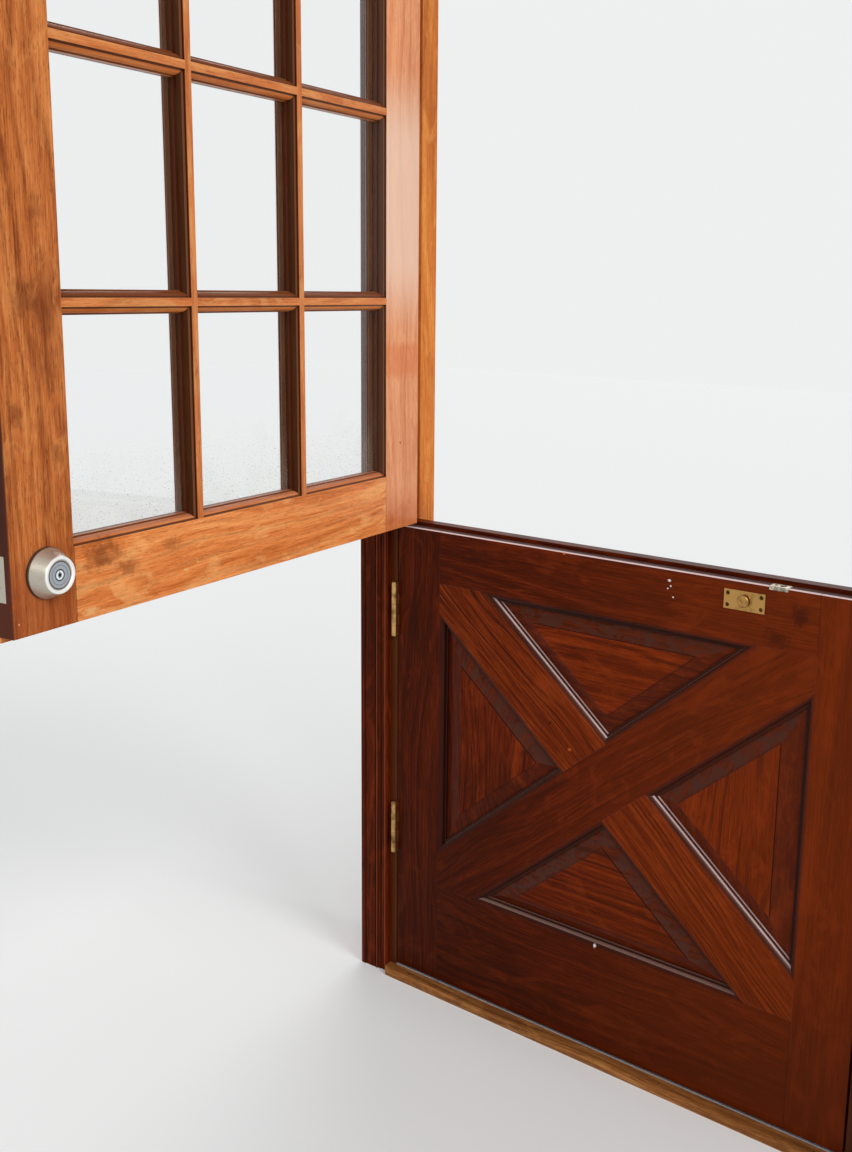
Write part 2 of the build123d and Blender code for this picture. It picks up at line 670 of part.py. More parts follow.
def deadbolt():
    """Pieces of the deadbolt, with what they take from the lock stile."""
    x, z = LOCK_XZ
    case = rod((CASE_X[0], CASE_Y, z), CASE_R, CASE_X[1] - CASE_X[0], (1, 0, 0))
    half_y, half_z = BOLT_HALF
    bolt = block(BOLT_X, around(CASE_Y, 2 * half_y), around(z, 2 * half_z))
    grown_y, grown_z = 2 * (half_y + BOLT_PLAY), 2 * (half_z + BOLT_PLAY)
    channel = block((BOLT_X[0] - OVERRUN, LEAF_WIDTH + OVERRUN), around(CASE_Y, grown_y), around(z, grown_z))
    thick, wide, tall = FACEPLATE
    plate = block((LEAF_WIDTH - thick, LEAF_WIDTH), around(CASE_Y, wide), around(z, tall))
    fixings = small_screws([(LEAF_WIDTH, CASE_Y, z + side * FACEPLATE_SCREW_Z) for side in (-1, 1)], (-1, 0, 0))
    nodes = {
        "bolt_case": case - channel,
        "deadbolt_bolt": bolt,
        "faceplate": cut(plate, [channel] + fixings),
        "faceplate_screws": Part() + fixings,
    }
    nodes.update(lock_cylinder())
    nodes.update(lock_turn())
    bore = rod((x, -OVERRUN, z), LOCK_BORE_R, LEAF_DEPTH + 2 * OVERRUN, (0, 1, 0))
    return nodes, [bore, case, plate] + fixings


def ring_sector(radii, span, centre, y):
    """Part of a disc or ring between two angles, between two depths."""
    inner, outer = radii
    steps = 2
    angles = [math.radians(span[0] + (span[1] - span[0]) * k / steps) for k in range(steps + 1)]

    def at(radius, angle):
        return Vector(centre[0] + radius * math.cos(angle), y[0], centre[1] + radius * math.sin(angle))

    outer_arc = Edge.make_three_point_arc(*[at(outer, angle) for angle in angles])
    if inner:
        inner_arc = Edge.make_three_point_arc(*[at(inner, angle) for angle in reversed(angles)])
        edges = [outer_arc, Edge.make_line(at(outer, angles[-1]), at(inner, angles[-1])), inner_arc,
                 Edge.make_line(at(inner, angles[0]), at(outer, angles[0]))]
    else:
        hub = Vector(centre[0], y[0], centre[1])
        edges = [outer_arc, Edge.make_line(at(outer, angles[-1]), hub), Edge.make_line(hub, at(outer, angles[0]))]
    return extrude(Face(Wire(edges)), amount=y[1] - y[0], dir=(0, 1, 0))


def quadrant():
    """Quadrant that takes the stud, its back plate and screws."""
    x, z = PIVOT_XZ
    wide, thick, tall = BACK_PLATE
    plate = block(around(x, wide), (-thick, 0.0), around(z, tall))
    pivot_end = ARM_Y[0] - ARM_PLAY
    boss_end = ARM_Y[1] + ARM_PLAY
    plate = plate + rod((x, boss_end, z), BOSS_R, -boss_end, (0, 1, 0))
    plate = plate + rod((x, pivot_end, z), PIVOT_R, -pivot_end, (0, 1, 0))
    plate = plate + rod((x, pivot_end, z), PIVOT_HEAD[0], PIVOT_HEAD[1], (0, -1, 0))
    arm = ring_sector((0.0, QUADRANT_RADIUS), QUADRANT_SPAN, PIVOT_XZ, ARM_Y)
    arm = arm + rod((x, ARM_Y[0], z), BOSS_R, ARM_Y[1] - ARM_Y[0], (0, 1, 0))
    wide_y = (ARM_Y[0] - OVERRUN, ARM_Y[1] + OVERRUN)
    through = wide_y[1] - wide_y[0]
    arm = arm - rod((x, wide_y[0], z), PIVOT_R + RUNNING_GAP, through, (0, 1, 0))
    arm = arm - ring_sector((SLOT_RADIUS - SLOT_HALF, SLOT_RADIUS + SLOT_HALF), SLOT_SPAN, PIVOT_XZ, wide_y)
    closed = math.radians(SLOT_SPAN[0])
    end = (x + SLOT_RADIUS * math.cos(closed), wide_y[0], z + SLOT_RADIUS * math.sin(closed))
    arm = arm - rod(end, SLOT_HALF, through, (0, 1, 0))
    grip = math.radians(GRIP_ANGLE)
    at = (x + GRIP_RADIUS * math.cos(grip), ARM_Y[0], z + GRIP_RADIUS * math.sin(grip))
    radius, neck, height = GRIP
    profile = (
        (radius - GRIP_ROUND, 0.0),
        (neck, height / 2),
        (radius, height - 2 * GRIP_ROUND),
        (radius - GRIP_ROUND, height),
    )
    arm = arm + turned(profile, at, (0, -1, 0))
    fixings = small_screws([(px, -thick, pz) for px, pz in corners(PIVOT_XZ, (wide, tall), BACK_PLATE_MARGIN)],
                           (0, 1, 0))
    return {"quadrant_plate": cut(plate, fixings), "quadrant_arm": arm}, fixings


def flush_bolt():
    """Flush bolt that drops into the keeper, with its fixings and its housing in the rail."""
    x, y = BOLT_XY
    wide, deep, tall = BOLT_BODY
    housing = block(around(x, wide), (0.0, deep), (LIP_FOOT, LIP_FOOT + tall))
    face_wide, face_thick, face_tall = BOLT_FACE
    face_z = (LIP_FOOT + BOLT_FACE_RISE, LIP_FOOT + BOLT_FACE_RISE + face_tall)
    body = housing + block(around(x, face_wide), (-face_thick, 0.0), face_z)
    foot = LIP_FOOT + ROD_REST
    bore_length = OVERRUN + ROD_REST + ROD_LENGTH + ROD_PLAY
    bore = rod((x, y, LIP_FOOT - OVERRUN), ROD_R + RUNNING_GAP, bore_length, (0, 0, 1))
    slot_wide, slot_tall = THUMB_SLOT
    slot_foot = LIP_FOOT + THUMB_SLOT_RISE
    slot = block(around(x, slot_wide), (-face_thick - OVERRUN, y), (slot_foot, slot_foot + slot_tall))
    thumb_foot = slot_foot + ROD_TRAVEL + (slot_tall - ROD_TRAVEL - THUMB_HIGH) / 2
    thumb = (thumb_foot, thumb_foot + THUMB_HIGH)
    half, rise = THUMB_PAD
    reach = -face_thick - THUMB_PLAY
    moving = rod((x, y, foot), ROD_R, ROD_LENGTH, (0, 0, 1))
    moving = moving + block(around(x, slot_wide - 2 * THUMB_PLAY), (reach, y), thumb)
    moving = moving + block(around(x, 2 * half), (reach - rise, reach), thumb)
    heights = (face_z[0] + BOLT_SCREW_INSET, face_z[1] - BOLT_SCREW_INSET)
    fixings = [screw((x, -face_thick, z), (0, 1, 0), SMALL_HEAD_R, SMALL_SHANK_R, SMALL_HEAD_R) for z in heights]
    nodes = {"flush_bolt_body": cut(body - bore - slot, fixings), "flush_bolt_rod": moving}
    return nodes, fixings, housing


def upper_leaf():
    """Solids of the upper leaf, in leaf coordinates and closed."""
    members, nodes = upper_members()
    plates = [hinge_half(centre, LEAF_PLATE_X, 1, PIN_R + RUNNING_GAP) for centre in HINGE_CENTRES_UPPER]
    hinge_fixings = big_screws(hinge_spots(HINGE_CENTRES_UPPER, LEAF_PLATE_X[0]), (1, 0, 0))
    mortises = [plate_mortise(centre, (-OVERRUN, LEAF_PLATE_X[1])) for centre in HINGE_CENTRES_UPPER]
    members["upper_hinge_stile"] = cut(members["upper_hinge_stile"], mortises + hinge_fixings)
    nodes["upper_hinge_plates"] = cut(Part() + plates, hinge_fixings)
    nodes["upper_hinge_screws"] = Part() + hinge_fixings
    lock, lock_cuts = deadbolt()
    members["upper_lock_stile"] = cut(members["upper_lock_stile"], lock_cuts)
    quadrant_nodes, quadrant_fixings = quadrant()
    bolt_nodes, bolt_fixings, housing = flush_bolt()
    for name in ("upper_bottom_rail", "meeting_lip"):
        members[name] = cut(members[name], quadrant_fixings + [housing] + bolt_fixings)
    nodes["fitting_screws"] = Part() + quadrant_fixings + bolt_fixings
    for group in (lock, quadrant_nodes, bolt_nodes, members):
        nodes.update(group)
    return nodes


def jamb_section(side):
    """XY outline of a side jamb: side -1 at the hinges, 1 at the lock."""
    centre = LEAF_WIDTH / 2
    face = centre + SIDE_GAP
    back, stop = face + JAMB_THICK, face - STOP_RISE
    points = [
        (back, 0.0),
        (back, JAMB_DEPTH),
        (face, JAMB_DEPTH),
        (face, STOP_Y[1]),
        (stop, STOP_Y[1]),
        (stop, STOP_Y[0]),
        (face, STOP_Y[0]),
        (face, JAMB_ARRIS),
        (face + JAMB_ARRIS, 0.0),
    ]
    return [(centre + side * distance, y) for distance, y in points]


def jambs(centre, face, head):
    """Side jambs and head jamb, with their stops."""
    top = head + JAMB_THICK
    across = around(centre, 2 * face)
    corner = block(across, (0.0, JAMB_DEPTH), (head, top))
    nodes = {}
    for name, side in (("hinge_jamb", -1), ("strike_jamb", 1)):
        nodes[name] = post(jamb_section(side), (FLOOR_Z, top)) - corner
    bar = block(across, (JAMB_ARRIS, JAMB_DEPTH), (head, top))
    bar = bar + block(across, (0.0, JAMB_ARRIS), (head + JAMB_ARRIS, top))
    stop = block(around(centre, 2 * (face - STOP_RISE)), STOP_Y, (head - STOP_RISE, head))
    nodes["head_jamb"] = bar + stop
    return nodes


def frame_hinges():
    """Fixed halves, pins and screws of the hinges, with what they take from the jamb."""
    plates = [hinge_half(centre, FRAME_PLATE_X, 0, PIN_R) for centre in HINGE_CENTRES]
    fixings = big_screws(hinge_spots(HINGE_CENTRES, FRAME_PLATE_X[1]), (-1, 0, 0))
    mortises = [plate_mortise(centre, (FRAME_PLATE_X[0], 0.0)) for centre in HINGE_CENTRES]
    nodes = {
        "frame_hinge_plates": cut(Part() + plates, fixings),
        "hinge_pins": Part() + [hinge_pin(centre) for centre in HINGE_CENTRES],
        "frame_hinge_screws": Part() + fixings,
    }
    return nodes, mortises + fixings


def strike(face_x):
    """Strike plate of the deadbolt and its screws, with what they take from the jamb."""
    z = LOCK_XZ[1]
    thick, wide, tall = STRIKE
    half_y, half_z = STRIKE_OPENING
    plate = block((face_x, face_x + thick), around(CASE_Y, wide), around(z, tall))
    pocket = block((face_x - OVERRUN, face_x + BOLT_POCKET), around(CASE_Y, 2 * half_y), around(z, 2 * half_z))
    fixings = small_screws([(face_x, CASE_Y, z + side * STRIKE_SCREW_Z) for side in (-1, 1)], (1, 0, 0))
    nodes = {"deadbolt_strike": cut(plate, [pocket] + fixings), "strike_screws": Part() + fixings}
    return nodes, [plate, pocket] + fixings


def frame():
    """Solids of the frame, in leaf coordinates."""
    centre = LEAF_WIDTH / 2
    face = centre + SIDE_GAP
    head = LEAF_TOP + HEAD_GAP
    nodes = jambs(centre, face, head)
    hinges, hinge_cuts = frame_hinges()
    lock, lock_cuts = strike(centre + face)
    nodes["hinge_jamb"] = cut(nodes["hinge_jamb"], hinge_cuts)
    nodes["strike_jamb"] = cut(nodes["strike_jamb"], lock_cuts)
    for group in (hinges, lock, casings(centre, face, head), sill(centre, face)):
        nodes.update(group)
    return nodes


def casings(centre, face, head):
    """Side and head casings, mitred at the top corners."""
    inner, outer = face + REVEAL, face + REVEAL + CASING_WIDTH
    low, high = head + REVEAL, head + REVEAL + CASING_WIDTH
    through = (-CASING_THICK - OVERRUN, OVERRUN)
    profile = [(share * CASING_WIDTH, rise * CASING_THICK) for share, rise in CASING_FACE]
    nodes = {}
    for name, side in (("hinge_casing", -1), ("strike_casing", 1)):
        face_points = [(centre + side * (outer - distance), -height) for distance, height in profile]
        outline = [(centre + side * outer, 0.0), *face_points, (centre + side * inner, 0.0)]
        over = high + OVERRUN
        ends = [(centre + side * inner, low), (centre + side * outer, high),
                (centre + side * outer, over), (centre + side * inner, over)]
        nodes[name] = post(outline, (FLOOR_Z, high)) - slab(ends, through)
    left = centre - outer
    points = [(left, 0.0, high), *[(left, -height, high - distance) for distance, height in profile],
              (left, 0.0, low)]
    bar = extrude(Face(Wire.make_polygon(points, close=True)), amount=2 * outer, dir=(1, 0, 0))
    keep = [(centre - inner, low), (centre + inner, low), (centre + outer, high), (centre - outer, high)]
    nodes["head_casing"] = bar & slab(keep, through)
    return nodes


def sill(centre, face):
    """Threshold between the jambs, its metal strip and nails."""
    heights = (FLOOR_Z, SILL_TOP)
    across = around(centre, 2 * face)
    body = block(across, (0.0, STOP_Y[0]), heights)
    body = body + block(around(centre, 2 * (face - STOP_RISE)), STOP_Y, heights)
    body = body + block(across, (STOP_Y[1], JAMB_DEPTH), heights)
    left, right = around(centre, 2 * (face + REVEAL))
    nose = [(left, 0.0), (left, NOSE_SIDE_Y), (left + NOSE_BEVEL, NOSE_Y), (right - NOSE_BEVEL, NOSE_Y),
            (right, NOSE_SIDE_Y), (right, 0.0)]
    body = body + post(nose, heights)
    round_y, round_z = NOSE_Y + NOSE_ROUND, SILL_TOP - NOSE_ROUND
    edge = block((left - OVERRUN, right + OVERRUN), (NOSE_Y - OVERRUN, round_y), (round_z, SILL_TOP + OVERRUN))
    edge = edge - rod((left - OVERRUN, round_y, round_z), NOSE_ROUND, right - left + 2 * OVERRUN, (1, 0, 0))
    first, last = NAIL_EDGE, LEAF_WIDTH - NAIL_EDGE
    step = (last - first) / (NAIL_COUNT - 1)
    nails = [rod((first + index * step, NAIL_ROW_Y, SILL_TOP), NAIL_R, NAIL_LENGTH, (0, 0, -1))
             for index in range(NAIL_COUNT)]
    return {
        "threshold": cut(body - edge, nails),
        "threshold_nails": Part() + nails,
        "threshold_strip": block(across, STRIP_Y, (SILL_TOP, SILL_TOP + STRIP_THICK)),
    }


def main():
    """Build every node in the part's own frame and write it."""
    os.makedirs("parts", exist_ok=True)
    base = Pos(-LEAF_WIDTH / 2, 0.0, -FLOOR_Z)
    swing = Pos(*PIN_XY, 0.0) * Rot(0.0, 0.0, -OPEN_ANGLE) * Pos(-PIN_XY[0], -PIN_XY[1], 0.0)
    for nodes, location in ((frame(), base), (lower_leaf(), base), (upper_leaf(), base * swing)):
        for name, solid in nodes.items():
            export_step(location * solid, "parts/" + name + ".step")


main()
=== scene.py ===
import json
import logging
import math
from dataclasses import dataclass, field, replace
from enum import Enum
from typing import Mapping, Sequence

import bmesh
import bpy
from mathutils import Matrix, Vector


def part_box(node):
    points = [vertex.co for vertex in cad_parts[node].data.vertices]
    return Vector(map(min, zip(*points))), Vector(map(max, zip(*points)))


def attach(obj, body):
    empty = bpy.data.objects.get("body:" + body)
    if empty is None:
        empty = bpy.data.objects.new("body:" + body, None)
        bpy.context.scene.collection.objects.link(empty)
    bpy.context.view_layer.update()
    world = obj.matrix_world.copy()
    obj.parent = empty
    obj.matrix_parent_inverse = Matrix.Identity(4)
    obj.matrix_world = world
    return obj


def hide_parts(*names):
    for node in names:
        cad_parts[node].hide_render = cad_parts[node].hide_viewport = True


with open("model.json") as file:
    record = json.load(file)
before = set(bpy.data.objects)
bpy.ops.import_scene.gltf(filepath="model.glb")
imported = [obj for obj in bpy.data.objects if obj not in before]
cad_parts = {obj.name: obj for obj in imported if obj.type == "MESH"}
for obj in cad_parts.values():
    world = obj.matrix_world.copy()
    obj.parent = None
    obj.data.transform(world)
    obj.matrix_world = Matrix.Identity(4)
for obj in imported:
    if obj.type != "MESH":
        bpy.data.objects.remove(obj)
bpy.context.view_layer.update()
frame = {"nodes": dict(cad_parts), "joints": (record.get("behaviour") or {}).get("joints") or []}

LOG = logging.getLogger("stable_door")
FACING = "facing"

MM = 0.001
Colour = tuple[float, float, float]
Place3 = tuple[float, float, float]
LineSizes = tuple[float, float, Colour, float]
Settings = Mapping[str, object]
Inputs = Mapping[str | int, object]
Fed = bpy.types.NodeSocket | float


def tint(red: int, green: int, blue: int) -> Colour:
    """Turn a screen colour into the linear values that a shader takes.

    Args:
        red: Red from 0 to 255.
        green: Green from 0 to 255.
        blue: Blue from 0 to 255.

    Returns:
        The linear red, green and blue.
    """
    def linear(value: int) -> float:
        """Linear value of one channel."""
        share = value / 255
        return share / 12.92 if share <= 0.04045 else ((share + 0.055) / 1.055) ** 2.4

    return linear(red), linear(green), linear(blue)


class Grain(Enum):
    """Direction of the grain in the plane of a leaf, in degrees up from the hinge-to-lock line."""

    LEVEL = 0.0
    UPRIGHT = 90.0
    RISING = 40.32
    FALLING = -40.32


class Wire:
    """A shader socket that takes part in Python sums."""

    def __init__(self, graph: "Graph", socket: bpy.types.NodeSocket) -> None:
        """Keep a socket and the graph that it belongs to."""
        self.graph = graph
        self.socket = socket

    def __add__(self, other: "Wire | float") -> "Wire":
        """Sum of two values."""
        return self.graph.maths("ADD", self, other)

    def __radd__(self, other: float) -> "Wire":
        """Sum with a plain number first."""
        return self.graph.maths("ADD", other, self)

    def __sub__(self, other: "Wire | float") -> "Wire":
        """Difference of two values."""
        return self.graph.maths("SUBTRACT", self, other)

    def __rsub__(self, other: float) -> "Wire":
        """Difference from a plain number."""
        return self.graph.maths("SUBTRACT", other, self)

    def __mul__(self, other: "Wire | float") -> "Wire":
        """Product of two values."""
        return self.graph.maths("MULTIPLY", self, other)

    def __rmul__(self, other: float) -> "Wire":
        """Product with a plain number first."""
        return self.graph.maths("MULTIPLY", other, self)

    def root(self) -> "Wire":
        """Square root of the value."""
        return self.graph.maths("SQRT", self)

    def held(self) -> "Wire":
        """The value kept between 0 and 1."""
        return self.graph.maths("MINIMUM", self.graph.maths("MAXIMUM", self, 0.0), 1.0)

    def between(self, low: float, high: float) -> "Wire":
        """Smooth step of the value from 0 at low to 1 at high."""
        return self.graph.wire("Result", "ShaderNodeMapRange", {"interpolation_type": "SMOOTHSTEP"},
                               {"Value": self, "From Min": low, "From Max": high})


def add_node(tree: bpy.types.NodeTree, kind: str, settings: Settings | None = None,
             inputs: Inputs | None = None) -> bpy.types.Node:
    """Add a node to a tree, set it up and feed its sockets.

    Args:
        tree: The tree.
        kind: Type of the node.
        settings: Properties set first.
        inputs: Values, sockets or wires by socket name or number.

    Returns:
        The new node.
    """
    node = tree.nodes.new(kind)
    for key, value in (settings or {}).items():
        setattr(node, key, value)
    for key, value in (inputs or {}).items():
        socket = node.inputs[key]
        if isinstance(value, Wire):
            value = value.socket
        if isinstance(value, bpy.types.NodeSocket):
            tree.links.new(value, socket)
        elif isinstance(value, tuple) and socket.type == "RGBA" and len(value) == 3:
            socket.default_value = (*value, 1.0)
        else:
            socket.default_value = value
    return node


class Graph:
    """One material and the nodes in it."""

    def __init__(self, name: str) -> None:
        """Start an empty material of that name."""
        self.material = bpy.data.materials.new(name)
        self.material.use_nodes = True
        self.tree = self.material.node_tree
        self.tree.nodes.clear()

    def node(self, kind: str, settings: Settings | None = None,
             inputs: Inputs | None = None) -> bpy.types.Node:
        """Add a node to the material."""
        return add_node(self.tree, kind, settings, inputs)

    def wire(self, output: str | int, kind: str, settings: Settings | None = None,
             inputs: Inputs | None = None) -> Wire:
        """One output of a new node."""
        return Wire(self, self.node(kind, settings, inputs).outputs[output])

    def maths(self, operation: str, *values: "Wire | float") -> Wire:
        """Value of a Math node."""
        return self.wire(0, "ShaderNodeMath", {"operation": operation}, dict(enumerate(values)))

    def flat(self, setting: "Setting") -> Wire:
        """Flat coordinates of a piece that stands in a setting."""
        return self.placed(self.wire("Object", "ShaderNodeTexCoord"), setting.turn, setting.shift)

    def placed(self, vector: Wire, turn: Matrix, shift: Vector) -> Wire:
        """Vector turned and then shifted."""
        return self.wire("Vector", "ShaderNodeMapping", {"vector_type": "POINT"}, {
            "Vector": vector, "Location": tuple(shift), "Rotation": tuple(turn.to_euler("XYZ"))})

    def scaled(self, vector: Wire, factors: Place3) -> Wire:
        """Vector stretched by three factors."""
        return self.wire(0, "ShaderNodeVectorMath", {"operation": "MULTIPLY"}, {0: vector, 1: factors})

    def split(self, vector: Wire) -> tuple[Wire, Wire, Wire]:
        """The three parts of a vector."""
        node = self.node("ShaderNodeSeparateXYZ", {}, {0: vector})
        return Wire(self, node.outputs[0]), Wire(self, node.outputs[1]), Wire(self, node.outputs[2])

    def bands(self, value: Wire, scale: float) -> Wire:
        """Uneven bands along one value, from 0 to 1."""
        return self.wire("Fac", "ShaderNodeTexNoise", {"noise_dimensions": "1D"},
                         {"W": value, "Scale": scale, "Detail": 2.5, "Roughness": 0.55})

    def ramp(self, value: Wire, stops: Sequence[tuple[float, Colour]]) -> Wire:
        """Colours of a ramp at a value, from stops with a place from 0 to 1 each."""
        node = self.node("ShaderNodeValToRGB", {}, {"Fac": value})
        elements = node.color_ramp.elements
        while len(elements) < len(stops):
            elements.new(0.5)
        for element, (place, colour) in zip(elements, stops):
            element.position = place
            element.color = (*colour, 1.0)
        return Wire(self, node.outputs["Color"])

    def blend(self, factor: "Wire | float", low: "Wire | Colour", high: "Wire | Colour") -> Wire:
        """Colours mixed by a factor."""
        return self.wire(2, "ShaderNodeMix", {"data_type": "RGBA", "clamp_factor": True},
                         {0: factor, 6: low, 7: high})

    def true_normal(self) -> Wire:
        """Direction that the face itself looks in."""
        return self.wire("True Normal", "ShaderNodeNewGeometry")

    def eased_normal(self, radius: float) -> Wire:
        """Normal with the arrises rounded."""
        return self.wire("Normal", "ShaderNodeBevel", {"samples": 6}, {"Radius": radius})

    def arris(self, eased: Wire) -> Wire:
        """How far the eased normal leaves the true one, from 0 on a face to 1 on an arris."""
        dot = self.wire("Value", "ShaderNodeVectorMath", {"operation": "DOT_PRODUCT"},
                        {0: eased, 1: self.true_normal()})
        return (1.0 - dot).between(0.01, 0.16)

    def facing_up(self) -> Wire:
        """How far a face looks up, from -1 to 1."""
        return self.split(self.true_normal())[2]

    def bump(self, height: Wire, strength: float, distance: float, normal: Wire) -> Wire:
        """Normal bent by a height."""
        return self.wire("Normal", "ShaderNodeBump", {}, {
            "Height": height, "Strength": strength, "Distance": distance, "Normal": normal})

    def finish(self, inputs: Inputs) -> bpy.types.Material:
        """The material, closed with one surface shader that takes these inputs."""
        return self.close(self.node("ShaderNodeBsdfPrincipled", {}, inputs))

    def close(self, surface: bpy.types.Node) -> bpy.types.Material:
        """The material, closed with a finished shader."""
        self.node("ShaderNodeOutputMaterial", {}, {"Surface": surface.outputs[0]})
        return self.material


@dataclass(frozen=True)
class Pattern:
    """An uneven pattern in the three directions of a piece.

    Attributes:
        scale: Cells a metre.
        detail: Number of finer layers on it.
        rough: Share of the finer layers.
        twist: How far it is swirled.
        stretch: Factors on the cells along the three axes.
    """

    scale: float
    detail: float = 2.0
    rough: float = 0.5
    twist: float = 0.0
    stretch: Place3 | None = None

    def on(self, graph: Graph, place: Wire) -> Wire:
        """The pattern at a place, from 0 to 1."""
        drawn = graph.scaled(place, self.stretch) if self.stretch else place
        return graph.wire("Fac", "ShaderNodeTexNoise", {"noise_dimensions": "3D"}, {
            "Vector": drawn, "Scale": self.scale, "Detail": self.detail, "Roughness": self.rough,
            "Distortion": self.twist})


@dataclass(frozen=True)
class Setting:
    """Where a leaf or the frame stands at rest.

    Attributes:
        turn: Turn of a point of the frame into flat coordinates.
        shift: Shift after that turn.
    """

    turn: Matrix
    shift: Vector

    def local(self, point: Vector) -> Vector:
        """Flat coordinates of a point of the frame."""
        return self.turn @ point + self.shift

    def box(self, name: str) -> tuple[Vector, Vector]:
        """The two corners of a node's box in flat millimetres."""
        low, high = (self.local(Vector(corner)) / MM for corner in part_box(name))
        return low, high


class Doorway:
    """The settings of the frame, the lower leaf and the upper leaf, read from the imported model."""

    def __init__(self) -> None:
        """Read the hinge line and the corner of the lower leaf."""
        corner = Vector(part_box("lower_hinge_stile")[0])
        swing = next(joint for joint in frame["joints"] if joint["name"] == "upper_leaf_swing")
        pin = Vector(swing["pos_m"])
        pin.z = 0.0
        angle = math.radians(max(swing["range_deg"]))
        turn = Matrix.Rotation(angle, 3, "Z")
        self.fixed = Setting(Matrix.Identity(3), -corner)
        self.swung = Setting(turn, pin - turn @ pin - corner)


@dataclass(frozen=True)
class Fleck:
    """A small mark on the wood: a paint drop, a chip, a knot or a nail hole.

    Attributes:
        place: Flat coordinates in millimetres.
        radius: Radius in millimetres.
        colour: Colour of the mark.
        stretch: How much longer the mark is along the leaf than up it.
        share: How far the mark covers the wood.
        core: Share of the radius inside which it is full.
    """

    place: Place3
    radius: float
    colour: Colour
    stretch: float = 1.0
    share: float = 1.0
    core: float = 0.55

    def mask(self, graph: Graph, flat: Wire) -> Wire:
        """Where the mark lies, from 0 beside it to 1 in its core."""
        radius = self.radius * MM
        near = graph.placed(flat, Matrix.Identity(3), Vector(self.place) * -MM)
        squeezed = graph.scaled(near, (1.0 / self.stretch, 1.0, 1.0))
        size = graph.wire("Value", "ShaderNodeVectorMath", {"operation": "LENGTH"}, {0: squeezed})
        uneven = Pattern(1.6 / radius, 3.0, 0.6).on(graph, flat) - 0.5
        ragged = size + uneven * (2.4 - 2.2 * self.core) * radius
        return 1.0 - ragged.between(self.core * radius, 0.95 * radius)


class Axis(Enum):
    """Flat direction that a band is measured along."""

    ALONG = 0
    DEPTH = 1
    HEIGHT = 2


@dataclass(frozen=True)
class UpwardShading:
    """Painted light on the faces of a band that look up: a painted sheen where it is pale, a painted shadow
    where it is dark.

    Attributes:
        start: Upward tilt at which it begins, from 0 to 1.
        full: Upward tilt at which it is full.
        colour: Its colour.
        share: How far it covers the wood.
    """

    start: float
    full: float
    colour: Colour
    share: float


@dataclass(frozen=True)
class Band:
    """A part of a board between two flat places, in another colour: joint lines and tones, and painted light
    and shade.

    Attributes:
        axis: Direction that it is measured along.
        low: Where it begins, in millimetres.
        high: Where it ends, in millimetres.
        colour: Its colour.
        share: How far the colour covers the wood.
        soft: Width of its soft edge in millimetres.
        gloss: Coat added inside it.
        film: Painted light on its faces that look up, if it has one.
        patchy: Whether its colour and its painted sheen are uneven.
    """

    axis: Axis
    low: float
    high: float
    colour: Colour
    share: float
    soft: float = 0.6
    gloss: float = 0.0
    film: UpwardShading | None = None
    patchy: bool = False

    def inside(self, places: Sequence[Wire]) -> Wire:
        """Where the band lies, from 0 beside it to 1 in it, from the three flat coordinates."""
        place = places[self.axis.value]
        return (place.between((self.low - self.soft) * MM, self.low * MM)
                * (1.0 - place.between(self.high * MM, (self.high + self.soft) * MM)))

    def stain(self, graph: Graph, inside: Wire, patches: Wire, colour: Wire) -> Wire:
        """Colour of the wood with the band and its painted light laid over it.

        Args:
            graph: The material's graph.
            inside: Where the band lies.
            patches: Uneven patches of the band's colour and of its painted sheen.
            colour: Colour of the wood under it.

        Returns:
            The new colour.
        """
        uneven = (0.75 + (patches - 0.5) * 1.6).held() if self.patchy else 1.0
        colour = graph.blend(inside * self.share * uneven, colour, self.colour)
        if self.film:
            up = graph.facing_up().between(self.film.start, self.film.full)
            # Painted sheen broken into patches on patchy bands.
            sheen_patches = patches.between(0.43, 0.57) * 0.80 + 0.20 if self.patchy else 1.0
            colour = graph.blend(inside * up * sheen_patches * self.film.share, colour, self.film.colour)
        return colour


LONG_STREAKS = Pattern(1.0, 3.0, 0.6, stretch=(14.0, 430.0, 430.0))
FINE_STREAKS = Pattern(1.0, 2.0, 0.6, stretch=(48.0, 1150.0, 1150.0))
PORES = Pattern(1.0, 2.0, 0.6, stretch=(75.0, 900.0, 900.0))
LINE_BREAKS = Pattern(1.0, stretch=(3.0, 60.0, 60.0))
PITH_WARP = Pattern(1.0, stretch=(1.6, 7.0, 7.0))
VARNISH_WAVES = Pattern(60.0, stretch=(0.5, 1.0, 1.0))
# Patches that break up the painted shade and the painted sheen on the bevels.
SHADE_AND_SHEEN_PATCHES = Pattern(38.0, 4.0, 0.6, 1.6, (0.6, 1.0, 1.0))
CLOUD_STRETCH = (0.4, 1.0, 1.0)
FLAMES_TO_CLOUDS = 2.6
FIGURE_STEP = (0.37, 0.11, 0.23)
COAT_ROUGH = 0.15
FIGURE_STOPS = (0.14, 0.50, 0.88)


